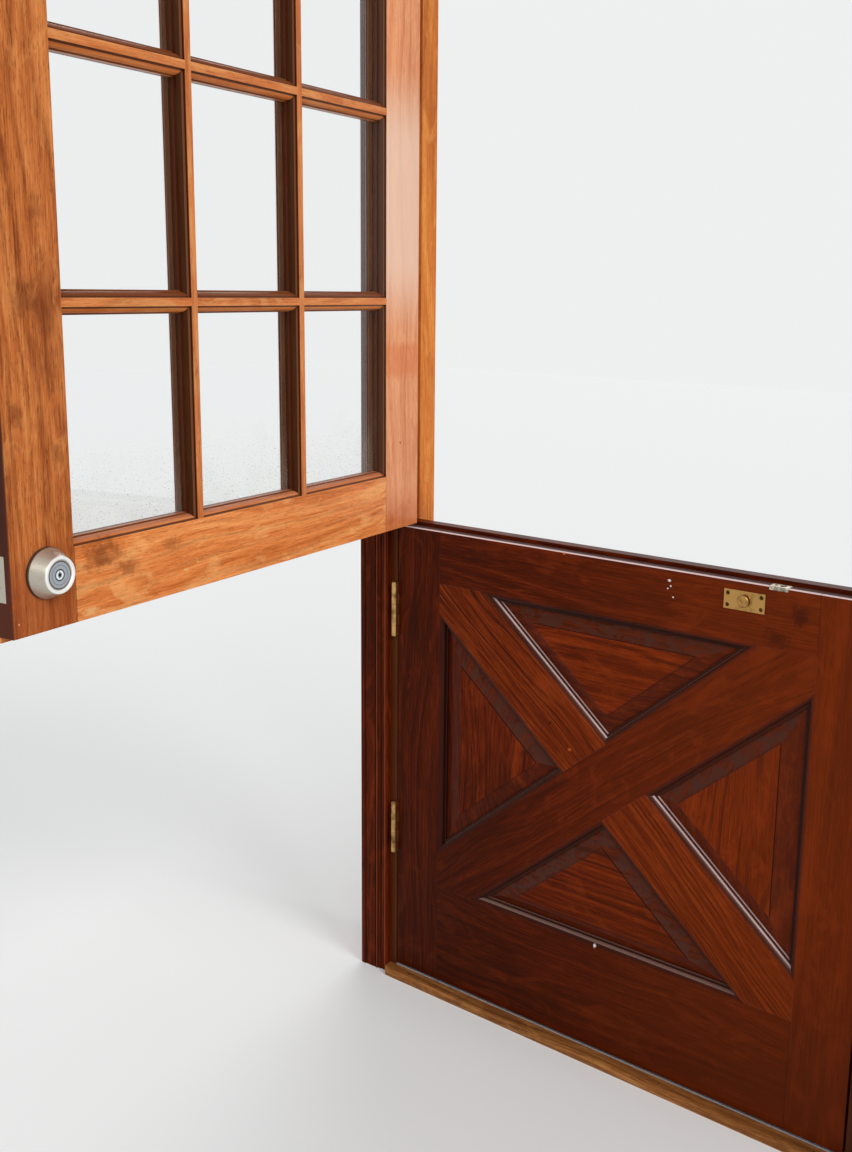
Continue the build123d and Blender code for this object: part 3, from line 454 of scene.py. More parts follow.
@dataclass(frozen=True)
class WoodFinish:
    """A varnished wood.

    Attributes:
        name: Name of the finish.
        deep: Colour of the dark figure.
        body: Colour of the ground.
        bright: Colour of the light figure.
        pore: Colour of the pores and veins.
        arris: Colour of the arrises, worn and with a painted highlight.
        arris_share: Strength of the arris colour.
        rings: Figure bands a metre.
        lines: Strength of the dark lines between the rings.
        contrast: Strength of the figure.
        drift: Sideways drift of the figure along the board.
        blotch: Strength of the darker clouds.
        glow: Strength of the lighter flames.
        cloud: Clouds a metre.
        streak: Strength of the fine streaks.
        ticks: Strength of the short dark pores.
        gloss: Level of the reflection of the wood itself.
        warmth: Tint of that reflection.
        rough: Roughness of the varnish.
        coat: Weight of the clear coat.
        ease: Radius of the eased arrises in millimetres.
    """

    name: str
    deep: Colour
    body: Colour
    bright: Colour
    pore: Colour
    arris: Colour
    arris_share: float
    rings: float
    lines: float
    contrast: float
    drift: float
    blotch: float
    glow: float
    cloud: float
    streak: float
    ticks: float
    gloss: float
    warmth: Colour
    rough: float
    coat: float
    ease: float

    def dress(self, board: "Board", setting: Setting, seed: int) -> bpy.types.Material:
        """Make the material of one board.

        Args:
            board: The board.
            setting: Where the board stands.
            seed: Number that moves the figure, so that no two boards match.

        Returns:
            The material.
        """
        graph = Graph(f"{self.name}_{board.node}")
        flat = graph.flat(setting)
        turn = Matrix.Rotation(math.radians(board.grain.value), 3, "Y")
        along = graph.placed(flat, turn, self.figure_shift(seed))
        streaks, fine = LONG_STREAKS.on(graph, along), FINE_STREAKS.on(graph, along)
        eased = graph.eased_normal(self.ease * MM)
        # Painted highlight: arrises that look up get more of the arris colour, on top of their wear.
        arris_wear_and_highlight = graph.facing_up().between(0.0, 0.5) * 0.35 + self.arris_share
        colour = self.ground(graph, along, streaks, fine, seed)
        colour = graph.blend((graph.arris(eased) * arris_wear_and_highlight).held(), colour, self.arris)
        patches = SHADE_AND_SHEEN_PATCHES.on(graph, along)
        coat: Wire | float = self.coat
        places = graph.split(flat)
        # The bands lay joint lines, tones and painted light and shade over the wood.
        for band in board.bands:
            inside = band.inside(places)
            colour = band.stain(graph, inside, patches, colour)
            if band.gloss:
                coat = coat + inside * band.gloss
        for fleck in board.flecks:
            colour = graph.blend(fleck.mask(graph, flat) * fleck.share, colour, fleck.colour)
        wave = VARNISH_WAVES.on(graph, along)
        rough = self.rough + (wave - 0.5) * 0.16 + (fine - 0.5) * 0.12
        return graph.finish({
            "Base Color": colour,
            "Roughness": rough.held(),
            "Coat Weight": coat,
            "Coat Roughness": COAT_ROUGH,
            "Specular IOR Level": self.gloss,
            "Specular Tint": self.warmth,
            "Normal": graph.bump(streaks * 0.5 + fine * 0.4 + wave * 0.8, 0.14, 0.0009, eased),
        })

    @staticmethod
    def figure_shift(seed: int) -> Vector:
        """How far the figure of a board is moved in the tree, in metres."""
        along, out, side = FIGURE_STEP
        return Vector((along * seed, out * (seed % 5), side * (seed % 7)))

    def ground(self, graph: Graph, along: Wire, streaks: Wire, fine: Wire, seed: int) -> Wire:
        """Colour of the figured wood.

        Args:
            graph: The material's graph.
            along: Coordinates with the grain along the first axis.
            streaks: The long streaks.
            fine: The fine streaks.
            seed: Number that moves the figure.

        Returns:
            The colour.
        """
        pith = self.from_pith(graph, along, seed)
        tone = ((graph.bands(pith, self.rings) - 0.5) * self.contrast + (streaks - 0.5) * self.streak
                + (fine - 0.5) * self.streak * 0.7)
        stops = tuple(zip(FIGURE_STOPS, (self.deep, self.body, self.bright)))
        colour = graph.ramp((tone + 0.5).held(), stops)
        clouds = Pattern(self.cloud, 4.0, 0.6, 0.5, CLOUD_STRETCH).on(graph, along)
        flames = Pattern(self.cloud * FLAMES_TO_CLOUDS, 3.0, 0.6, 1.6, CLOUD_STRETCH).on(graph, along)
        colour = graph.blend(clouds.between(0.50, 0.68) * self.blotch, colour, self.deep)
        colour = graph.blend(flames.between(0.52, 0.66) * self.glow, colour, self.bright)
        pores = PORES.on(graph, along).between(0.58, 0.68)
        broken = LINE_BREAKS.on(graph, along).between(0.40, 0.62)
        lines = graph.maths("SINE", pith * (self.rings * math.tau * 0.8)).between(0.45, 1.0)
        dark = lines * broken * self.lines + pores * self.ticks
        return graph.blend(dark.held(), colour, self.pore)

    def from_pith(self, graph: Graph, along: Wire, seed: int) -> Wire:
        """Uneven distance in metres from the heart of the tree, which the seed moves."""
        warp = PITH_WARP.on(graph, along) - 0.5
        run, out, side = graph.split(along)
        depth = out + 0.060 + 0.012 * (seed % 3)
        lean = side + run * self.drift + warp * 0.10 - 0.02 * (seed % 4)
        return (depth * depth + lean * lean * 0.55).root() + warp * 0.028


@dataclass(frozen=True)
class TurnedLine:
    """A dark or bright line that runs round a point of the leaf: a line a lathe leaves, and on the collar
    also a painted highlight.

    Attributes:
        centre: Flat place along the leaf and up it, in millimetres.
        radius: Radius of the line in millimetres.
        width: Half of its width in millimetres.
        colour: Its colour.
        matt: How much less it mirrors than the metal round it.
    """

    centre: tuple[float, float]
    radius: float
    width: float
    colour: Colour
    matt: float = 0.0

    def mask(self, graph: Graph, flat: Wire) -> Wire:
        """Where the line runs, from 0 beside it to 1 on it."""
        along, _, height = graph.split(flat)
        side, rise = along - self.centre[0] * MM, height - self.centre[1] * MM
        off = graph.maths("ABSOLUTE", (side * side + rise * rise).root() - self.radius * MM)
        return 1.0 - off.between(self.width * MM * 0.6, self.width * MM)


METAL_CLOUDS = Pattern(55.0, 3.0)
METAL_SPOTS = Pattern(420.0)
HINGE_WEAR = Pattern(60.0, 3.0)
GLASS_DOTS = Pattern(380.0, 0.0)
GLASS_FILM = Pattern(14.0, 3.0, 0.6)


@dataclass(frozen=True)
class MetalFinish:
    """A worn metal.

    Attributes:
        name: Name of the finish.
        bright: Colour where hands polish it.
        dull: Colour of the tarnish.
        rough: Roughness of the clean metal.
        tarnish: Share of the surface that is dull.
        grain: Stretch of the brush marks along the three axes.
        ease: Radius of the eased edges in millimetres.
        relief: Strength of the brush marks.
        mirror: How much the surface mirrors like bare metal.
    """

    name: str
    bright: Colour
    dull: Colour
    rough: float
    tarnish: float
    grain: Place3
    ease: float
    relief: float = 0.12
    mirror: float = 1.0

    def dress(self, setting: Setting, lines: Sequence[TurnedLine] = ()) -> bpy.types.Material:
        """Make the material.

        Args:
            setting: Where the piece stands.
            lines: Turned lines on the piece.

        Returns:
            The material.
        """
        graph = Graph(self.name)
        flat = graph.flat(setting)
        cloud, spots = METAL_CLOUDS.on(graph, flat), METAL_SPOTS.on(graph, flat)
        brush = Pattern(1.0, 2.0, 0.6, stretch=self.grain).on(graph, flat)
        eased = graph.eased_normal(self.ease * MM)
        dull = (cloud * 0.8 + spots * 0.2).between(0.58 - 0.3 * self.tarnish, 0.86 - 0.3 * self.tarnish)
        dull = (dull - graph.arris(eased) * 0.6).held()
        colour = graph.blend(dull, self.bright, self.dull)
        mirror: Wire | float = self.mirror
        for line in lines:
            mask = line.mask(graph, flat)
            colour = graph.blend(mask, colour, line.colour)
            if line.matt:
                mirror = (mirror - mask * line.matt).held()
        rough = self.rough + dull * 0.22 + (brush - 0.5) * 0.16
        return graph.finish({
            "Base Color": colour,
            "Metallic": mirror,
            "Roughness": rough.held(),
            "Normal": graph.bump(brush * 0.7 + spots * 0.3, self.relief, 0.0004, eased),
        })


@dataclass(frozen=True)
class HingeFinish:
    """Brass knuckles with plates that were varnished over with the wood.

    Attributes:
        name: Name of the finish.
        brass: Colour of the rubbed knuckles.
        tarnish: Colour in the hollows of the brass.
        varnish: Colour of the varnish on the plates.
        knuckle_back: Flat depth in metres at which the plates begin.
    """

    name: str
    brass: Colour
    tarnish: Colour
    varnish: Colour
    knuckle_back: float

    def dress(self, setting: Setting) -> bpy.types.Material:
        """Make the material of a hinge that stands in a setting."""
        graph = Graph(self.name)
        flat = graph.flat(setting)
        depth, wear = graph.split(flat)[1], HINGE_WEAR.on(graph, flat)
        plate = (depth + (wear - 0.5) * 0.003).between(self.knuckle_back - MM, self.knuckle_back + MM)
        grime = wear.between(0.38, 0.72)
        metal = graph.blend(grime, self.brass, self.tarnish)
        rough = 0.30 + grime * 0.25 + plate * 0.05
        return graph.finish({
            "Base Color": graph.blend(plate, metal, self.varnish),
            "Metallic": (1.0 - plate * 0.85).held(),
            "Roughness": rough.held(),
            "Normal": graph.bump(wear, 0.15, 0.0005, graph.eased_normal(0.15 * MM)),
        })


@dataclass(frozen=True)
class GlassFinish:
    """Clear glass with a little dust towards the foot of each pane.

    Attributes:
        name: Name of the finish.
        dust: Colour of the dust.
        foot: Flat height of the lowest sight line in metres.
        reach: Height of the dusty band in metres.
    """

    name: str
    dust: Colour
    foot: float
    reach: float

    def dress(self, setting: Setting) -> bpy.types.Material:
        """Make the material of panes that stand in a setting."""
        graph = Graph(self.name)
        flat = graph.flat(setting)
        low = 1.0 - graph.split(flat)[2].between(self.foot, self.foot + self.reach)
        dots = GLASS_DOTS.on(graph, flat).between(0.70, 0.80)
        film = GLASS_FILM.on(graph, flat).between(0.45, 0.75)
        dust = (dots * low * 0.45 + film * low * 0.06 + low * low * 0.05).held()
        clear = graph.node("ShaderNodeBsdfPrincipled", {}, {
            "Base Color": (0.97, 0.985, 0.98), "Roughness": 0.0, "IOR": 1.45, "Transmission Weight": 1.0})
        dull = graph.node("ShaderNodeBsdfPrincipled", {}, {"Base Color": self.dust, "Roughness": 0.8})
        return graph.close(graph.node("ShaderNodeMixShader", {}, {
            "Fac": dust, 1: clear.outputs[0], 2: dull.outputs[0]}))


def paint(material: bpy.types.Material, *names: str) -> None:
    """Give CAD nodes one material.

    Args:
        material: The material.
        names: Names of the nodes.
    """
    for name in names:
        for slot in frame["nodes"][name].material_slots:
            slot.material = material


@dataclass(frozen=True)
class Board:
    """One board of the door.

    Attributes:
        node: Name of its CAD node.
        grain: Direction of its grain.
        bands: Parts of it in another colour: joint lines, tones, and painted light and shade.
        flecks: Marks on it.
    """

    node: str
    grain: Grain
    bands: tuple[Band, ...] = ()
    flecks: tuple[Fleck, ...] = ()


WHITE_PAINT = tint(226, 218, 214)
FRESH_WOOD = tint(188, 96, 44)
PALE_WOOD = tint(228, 176, 116)
BURNT = tint(176, 82, 30)
SMUDGE = tint(96, 42, 18)
DEEP_STAIN = tint(44, 16, 10)
DARK_HOLE = tint(24, 10, 7)
WARM = (1.0, 0.72, 0.52)

# Painted light: the honey finishes are the sunlit copy of the same wood as the mahogany finishes below.
SUNLIT_HONEY = WoodFinish(
    name="sunlit_honey_varnish", deep=tint(178, 88, 32), body=tint(232, 138, 74), bright=tint(250, 182, 112),
    pore=tint(132, 60, 26), arris=tint(250, 190, 124), arris_share=0.45, rings=75.0, lines=0.28,
    contrast=0.7, drift=0.05, blotch=0.50, glow=0.45, cloud=9.0, streak=0.75, ticks=0.45,
    gloss=0.12, warmth=WARM, rough=0.36, coat=0.12, ease=0.9,
)
# Painted light: the sunlit copy of the wood, on the jambs.
SUNLIT_AMBER = replace(
    SUNLIT_HONEY, name="sunlit_amber_varnish", deep=tint(170, 78, 20), body=tint(220, 126, 50), bright=tint(242, 162, 82),
    rings=45.0,
)
# Painted light: the sunlit copy of the wood, browner, on the upper lock stile.
LOCK_STILE = replace(
    SUNLIT_HONEY, name="sunlit_brown_varnish", deep=tint(112, 50, 18), body=tint(188, 104, 50), bright=tint(220, 142, 78),
    pore=tint(88, 38, 16), arris=tint(214, 150, 96), rings=70.0, lines=0.22, drift=0.03, blotch=0.85,
    streak=0.8, ticks=0.65, rough=0.38,
)
# Painted light: the sunlit copy of the wood, tinted rosy by the sky that the hinge stile's varnish reflects.
HINGE_STILE = replace(
    SUNLIT_HONEY, name="sunlit_rosy_varnish", deep=tint(192, 102, 54), body=tint(226, 144, 92), bright=tint(242, 172, 120),
    pore=tint(150, 78, 42), arris=tint(246, 196, 150), rings=60.0, lines=0.22, contrast=0.6, drift=0.03,
    blotch=0.40, glow=0.35, ticks=0.28, gloss=0.25, rough=0.34, coat=0.30,
)
OAK = replace(
    SUNLIT_HONEY, name="worn_threshold", deep=tint(90, 48, 21), body=tint(140, 86, 41), bright=tint(178, 120, 64),
    pore=tint(60, 34, 18), arris=tint(190, 130, 74), arris_share=0.5, rings=110.0, lines=0.40,
    contrast=0.9, drift=0.03, blotch=0.45, glow=0.35, cloud=10.0, streak=1.2, ticks=0.50, gloss=0.2,
    rough=0.50, coat=0.05, ease=1.4,
)
# Painted shade: the mahogany finishes are the shaded copy of the same wood as the honey finishes above, dark
# as the room side lies in shade.
SHADED_MAHOGANY = WoodFinish(
    name="shaded_mahogany", deep=tint(46, 12, 1), body=tint(80, 23, 3), bright=tint(114, 40, 9),
    pore=tint(38, 11, 4), arris=tint(150, 92, 76), arris_share=0.30, rings=90.0, lines=0.45,
    contrast=0.75, drift=0.06, blotch=0.60, glow=0.45, cloud=7.0, streak=0.95, ticks=0.40,
    gloss=0.03, warmth=WARM, rough=0.34, coat=0.04, ease=0.9,
)
STREAKED = replace(
    SHADED_MAHOGANY, name="streaked_mahogany", deep=tint(64, 18, 3), body=tint(106, 36, 6), bright=tint(150, 62, 18),
    pore=tint(44, 13, 4), arris=tint(160, 96, 72), arris_share=0.28, rings=150.0, lines=0.75,
    contrast=0.9, drift=0.04, blotch=0.20, glow=0.30, cloud=6.0, streak=1.0, rough=0.33,
)
PANEL = replace(
    SHADED_MAHOGANY, name="panel_mahogany", deep=tint(58, 15, 2), body=tint(98, 30, 4), bright=tint(134, 50, 12),
    pore=tint(40, 12, 4), arris=tint(150, 90, 70), arris_share=0.22, rings=110.0, lines=0.80,
    contrast=0.9, drift=0.05, blotch=0.50, glow=0.40, cloud=9.0, streak=1.05, ticks=0.45, ease=0.7,
)

# Painted shade in the recesses of the sticking and behind the ledge.
RECESS_SHADE = tint(42, 14, 7)
SHADE = tint(36, 10, 2)
# Dark joint lines; also painted shadow lines in the quirks of the casing and at the step of each panel field.
JOINT_AND_SHADOW_LINE = tint(34, 12, 6)
# Painted highlight on the crests of the casing's profile.
CREST_HIGHLIGHT = tint(128, 62, 34)

# Painted shade in the reveals of the upright bars and stiles.
UPRIGHT_REVEAL_SHADE = Band(Axis.DEPTH, 2.0, 42.2, tint(38, 11, 1), 0.97, 0.8, -0.12)
# Painted light: the reveals of the level bars and top rail lit orange from below, with a painted shadow on
# their faces that look up.
LEVEL_REVEAL_LIGHT_AND_SHADOW = Band(Axis.DEPTH, 2.0, 42.2, tint(198, 104, 42), 0.55, 0.8,
                    film=UpwardShading(0.02, 0.24, tint(98, 46, 17), 0.92))
# Painted light in the reveal of the bottom rail, with a painted pinkish sheen on its faces that look up.
FOOT_REVEAL_LIGHT_AND_SHEEN = replace(LEVEL_REVEAL_LIGHT_AND_SHADOW, share=0.4, gloss=0.1, film=UpwardShading(0.2, 0.8, tint(170, 104, 72), 0.85))
# Painted shadow lines at the quirks of the sticking.
FILLET_SHADOWS = tuple(Band(Axis.DEPTH, low, high, tint(70, 28, 10), share, 0.2) for low, high, share in (
    (39.2, 43.3, 0.85), (30.6, 31.3, 0.80), (0.7, 2.1, 0.85), (7.8, 9.0, 0.85),
))
# Painted highlight lines on the sticking in the dark reveals.
STICKING_HIGHLIGHTS = (
    Band(Axis.DEPTH, 38.8, 39.5, tint(140, 90, 62), 0.50, 0.2),
    Band(Axis.DEPTH, 27.6, 30.4, tint(96, 38, 16), 0.50, 0.5),
)
BAR_FACE = Band(Axis.DEPTH, 42.6, 60.0, tint(146, 78, 40), 0.30, 0.2)
# The glazing beads darkened all over.
DARK_BEADS = Band(Axis.DEPTH, -10.0, 40.0, tint(62, 26, 10), 0.86)
UPPER_JOINTS = tuple(Band(Axis.ALONG, low, high, JOINT_AND_SHADOW_LINE, 0.6, 0.4) for low, high in (
    (100.4, 103.2), (813.3, 816.0),
))
# Painted reflection of the sky across the middle of the hinge stile.
ROSY_SKY_REFLECTION = Band(Axis.HEIGHT, 1370.0, 1540.0, tint(240, 210, 186), 0.66, 150.0, 0.1)
# Painted reflection: a narrow band of orange light across the hinge stile.
ORANGE_REFLECTION = Band(Axis.HEIGHT, 1174.0, 1210.0, tint(212, 98, 12), 0.42, 18.0)
# Painted light: the foot of the hinge stile lit a vivid orange.
ORANGE_FOOT_LIGHT = Band(Axis.HEIGHT, 700.0, 920.0, tint(206, 104, 44), 0.6, 60.0)
RED_FOOT = Band(Axis.HEIGHT, 700.0, 940.0, tint(140, 62, 32), 0.5, 90.0)
LOCK_EDGE = Band(Axis.ALONG, 913.4, 960.0, tint(66, 26, 16), 0.75, 0.3)
# Painted shade: the front of the jambs in the dark tone of the shaded room side.
SHADED_FRONT = Band(Axis.DEPTH, -60.0, 2.2, tint(60, 22, 8), 0.96, 0.5, -0.12)
SHADED_GAP = Band(Axis.DEPTH, 2.6, 9.0, tint(26, 8, 2), 0.88, 0.6, -0.12)

# Painted shade in the sticking of the lower leaf, with a painted greyish sheen on its faces that look up.
BUCK_RECESS_SHADE_AND_SHEEN = Band(Axis.DEPTH, 2.0, 42.0, RECESS_SHADE, 0.80, 0.8, 0.12,
                   UpwardShading(0.60, 0.71, tint(134, 104, 94), 0.75))
# On the short braces the sticking that looks up gets a bright painted highlight.
BRACE_RECESS_SHADE_AND_HIGHLIGHT = replace(BUCK_RECESS_SHADE_AND_SHEEN, gloss=0.20, film=UpwardShading(0.62, 0.73, tint(220, 192, 186), 0.88))
# Painted shade on the panel bevels, with a patchy painted sheen on the bevels that look up.
BEVEL_SHADE_AND_SHEEN = Band(Axis.DEPTH, 3.0, 41.0, tint(64, 21, 9), 0.66, 0.6, 0.04,
             UpwardShading(0.02, 0.12, tint(76, 45, 35), 0.80), True)
# Painted shadow line on the step at the edge of each panel field.
FIELD_STEP_SHADE = Band(Axis.DEPTH, 2.3, 4.3, JOINT_AND_SHADOW_LINE, 0.85, 0.2)
LOWER_JOINTS = tuple(Band(Axis.ALONG, low, high, JOINT_AND_SHADOW_LINE, 0.8, 0.3) for low, high in (
    (97.4, 98.6), (815.4, 816.6),
))
# Painted glint along the front of the ledge, and painted shade behind it.
LEDGE_GLINT_AND_SHADE = (
    Band(Axis.HEIGHT, 884.2, 886.0, tint(248, 222, 220), 0.92, 0.5, 0.3),
    Band(Axis.DEPTH, 6.5, 42.0, RECESS_SHADE, 0.88, 2.0),
)
# Painted light and shade across the lower leaf: lighter towards the lock side, painted shade towards its foot
# and its hinge side.
LIGHT_FALLOFF = (
    Band(Axis.ALONG, 880.0, 2000.0, tint(150, 62, 20), 0.26, 700.0),
    Band(Axis.HEIGHT, -200.0, 60.0, SHADE, 0.34, 420.0),
    Band(Axis.ALONG, -900.0, 60.0, SHADE, 0.24, 300.0),
)
FRAMING = (*LIGHT_FALLOFF, BUCK_RECESS_SHADE_AND_SHEEN)
BRACING = (*LIGHT_FALLOFF, BRACE_RECESS_SHADE_AND_HIGHLIGHT)
RAISED_PANEL = (*LIGHT_FALLOFF, BEVEL_SHADE_AND_SHEEN, FIELD_STEP_SHADE)
BAR_LINES = (LEVEL_REVEAL_LIGHT_AND_SHADOW, *FILLET_SHADOWS, BAR_FACE)
UPRIGHT_LINES = (UPRIGHT_REVEAL_SHADE, *FILLET_SHADOWS, *STICKING_HIGHLIGHTS)


BRASS = MetalFinish("aged_brass", tint(182, 140, 80), tint(122, 86, 44), 0.34, 0.25, (60.0, 700.0, 60.0), 0.5)
NICKEL = MetalFinish("satin_nickel", tint(186, 178, 164), tint(160, 150, 136), 0.30, 0.10,
                     (60.0, 60.0, 900.0), 0.1, 0.01, 0.78)
BLUE_STEEL = MetalFinish("blue_grey_metal", tint(180, 188, 194), tint(160, 168, 176), 0.36, 0.10,
                         (400.0, 60.0, 60.0), 0.1, 0.01, 0.45)
ZINC = MetalFinish("worn_zinc", tint(220, 212, 192), tint(104, 92, 76), 0.40, 0.55,
                   (60.0, 300.0, 900.0), 0.15, 0.05, 0.7)
MILL = MetalFinish("mill_aluminium", tint(206, 212, 222), tint(150, 152, 156), 0.34, 0.25,
                   (20.0, 900.0, 900.0), 0.2, 0.05, 0.6)
DARK_IRON = MetalFinish("dark_nails", tint(40, 28, 20), tint(20, 14, 10), 0.60, 0.7,
                        (300.0, 300.0, 300.0), 0.2, 0.05, 0.4)
DARK_BRASS = MetalFinish("dark_screws", tint(92, 66, 38), tint(40, 28, 18), 0.42, 0.6,
                         (500.0, 500.0, 500.0), 0.2)
HINGE = HingeFinish("varnished_hinge", tint(198, 156, 98), tint(112, 76, 40), tint(98, 44, 24), -0.0015)


def dress_boards(finish: WoodFinish, boards: Sequence[Board], setting: Setting, first: int) -> None:
    """Give boards one wood, each with a figure of its own.

    Args:
        finish: The wood.
        boards: The boards.
        setting: Where they stand.
        first: Seed of the first board.
    """
    for seed, board in enumerate(boards, first):
        paint(finish.dress(board, setting, seed), board.node)


@dataclass
class Lining:
    """Jambs, head, casings and threshold.

    Attributes:
        doorway: Where frame and leaves stand.
        jambs: The jambs and the head between them.
        steps: Lines of the casing's profile, each with its place as a share of the width and its colour.
    """

    doorway: Doorway
    jambs: tuple[Board, ...] = (
        # The fronts of the jambs carry painted shade.
        Board("hinge_jamb", Grain.UPRIGHT, (SHADED_FRONT, SHADED_GAP)),
        Board("strike_jamb", Grain.UPRIGHT, (SHADED_FRONT,)),
        Board("head_jamb", Grain.LEVEL, (SHADED_FRONT,)),
    )
    # Painted shadow lines in the quirks and painted highlights on the crests of the casing's profile.
    steps: tuple[tuple[float, Colour], ...] = (
        (0.198, JOINT_AND_SHADOW_LINE), (0.586, JOINT_AND_SHADOW_LINE), (0.647, CREST_HIGHLIGHT),
        (0.709, JOINT_AND_SHADOW_LINE), (0.789, JOINT_AND_SHADOW_LINE), (0.929, CREST_HIGHLIGHT),
    )

    def dress(self) -> None:
        """Give each piece of the lining its finish."""
        fixed = self.doorway.fixed
        # Painted light and shade: the jambs take the sunlit copy of the wood, the casings the shaded copy.
        dress_boards(SUNLIT_AMBER, self.jambs, fixed, 2)
        dress_boards(SHADED_MAHOGANY, self.casings(), fixed, 11)
        dress_boards(OAK, (Board("threshold", Grain.LEVEL),), fixed, 4)
        paint(MILL.dress(fixed), "threshold_strip")
        paint(DARK_IRON.dress(fixed), "threshold_nails")
        LOG.info("lining dressed")

    def casings(self) -> tuple[Board, ...]:
        """The three casings, with the lines of their profile."""
        box = self.doorway.fixed.box
        hinge, strike, head = box("hinge_casing"), box("strike_casing"), box("head_casing")
        return (
            Board("hinge_casing", Grain.UPRIGHT, self.profile_lines(Axis.ALONG, hinge[0].x, hinge[1].x)),
            Board("strike_casing", Grain.UPRIGHT, self.profile_lines(Axis.ALONG, strike[1].x, strike[0].x)),
            Board("head_casing", Grain.LEVEL, self.profile_lines(Axis.HEIGHT, head[1].z, head[0].z)),
        )

    def profile_lines(self, axis: Axis, outer: float, inner: float) -> tuple[Band, ...]:
        """Bands of painted shadow in the quirks and of painted highlight on the crests of a casing.

        Args:
            axis: Direction across the casing.
            outer: Flat place of its outer edge in millimetres.
            inner: Flat place of its inner edge in millimetres.

        Returns:
            One band for each step of the profile.
        """
        middles = [(outer + (inner - outer) * share, colour) for share, colour in self.steps]
        return tuple(Band(axis, middle - 0.7, middle + 0.7, colour, 0.7, 0.6) for middle, colour in middles)


@dataclass
class LowerLeaf:
    """The closed leaf with the cross-buck.

    Attributes:
        doorway: Where frame and leaves stand.
        rails: Stiles, rails, long brace and tongue.
        braces: The two short braces.
        panels: The four raised panels.
    """

    doorway: Doorway
    rails: tuple[Board, ...] = (
        Board("lower_hinge_stile", Grain.UPRIGHT, (*FRAMING, *LEDGE_GLINT_AND_SHADE)),
        Board("lower_lock_stile", Grain.UPRIGHT, (*FRAMING, *LEDGE_GLINT_AND_SHADE)),
        Board("lower_top_rail", Grain.LEVEL, (*FRAMING, *LEDGE_GLINT_AND_SHADE, *LOWER_JOINTS), (
            Fleck((564.6, 0.0, 867.4), 2.6, WHITE_PAINT, 1.4),
            Fleck((567.4, 0.0, 858.7), 2.0, WHITE_PAINT),
            Fleck((562.5, 0.0, 854.0), 1.6, WHITE_PAINT),
            Fleck((572.6, 0.0, 841.3), 1.8, WHITE_PAINT),
            Fleck((364.3, 0.0, 882.7), 2.4, FRESH_WOOD, 1.8),
            Fleck((786.0, 0.0, 846.0), 24.0, DEEP_STAIN, 1.0, 0.55, 0.1),
            Fleck((752.0, 0.0, 806.0), 20.0, DEEP_STAIN, 1.4, 0.50, 0.1),
            Fleck((180.0, 0.0, 850.0), 22.0, DEEP_STAIN, 2.0, 0.40, 0.1),
        )),
        Board("lower_bottom_rail", Grain.LEVEL, (*FRAMING, *LOWER_JOINTS),
              (Fleck((452.0, 3.0, 193.5), 5.0, WHITE_PAINT, 0.8),)),
        Board("long_brace", Grain.RISING, FRAMING),
        Board("meeting_tongue", Grain.LEVEL),
    )
    braces: tuple[Board, ...] = (
        Board("upper_short_brace", Grain.FALLING, BRACING, (
            Fleck((346.1, 0.0, 579.9), 4.2, tint(40, 12, 4), 1.0, 0.8, 0.3),
            Fleck((387.8, 0.0, 540.7), 3.0, tint(190, 92, 36), 1.6, 0.8),
        )),
        Board("lower_short_brace", Grain.FALLING, BRACING),
    )
    panels: tuple[Board, ...] = (
        Board("top_panel", Grain.LEVEL, RAISED_PANEL),
        Board("bottom_panel", Grain.LEVEL, RAISED_PANEL),
        Board("left_panel", Grain.UPRIGHT, RAISED_PANEL),
        Board("right_panel", Grain.UPRIGHT, RAISED_PANEL),
    )

    def dress(self) -> None:
        """Give each piece of the leaf its finish."""
        fixed = self.doorway.fixed
        # Painted shade: the lower leaf takes the shaded copies of the wood.
        dress_boards(SHADED_MAHOGANY, self.rails, fixed, 21)
        dress_boards(STREAKED, self.braces, fixed, 31)
        dress_boards(PANEL, self.panels, fixed, 41)
        paint(BRASS.dress(fixed), "stud_plate", "catch_stud")
        paint(ZINC.dress(fixed), "bolt_keeper")
        LOG.info("lower leaf dressed")


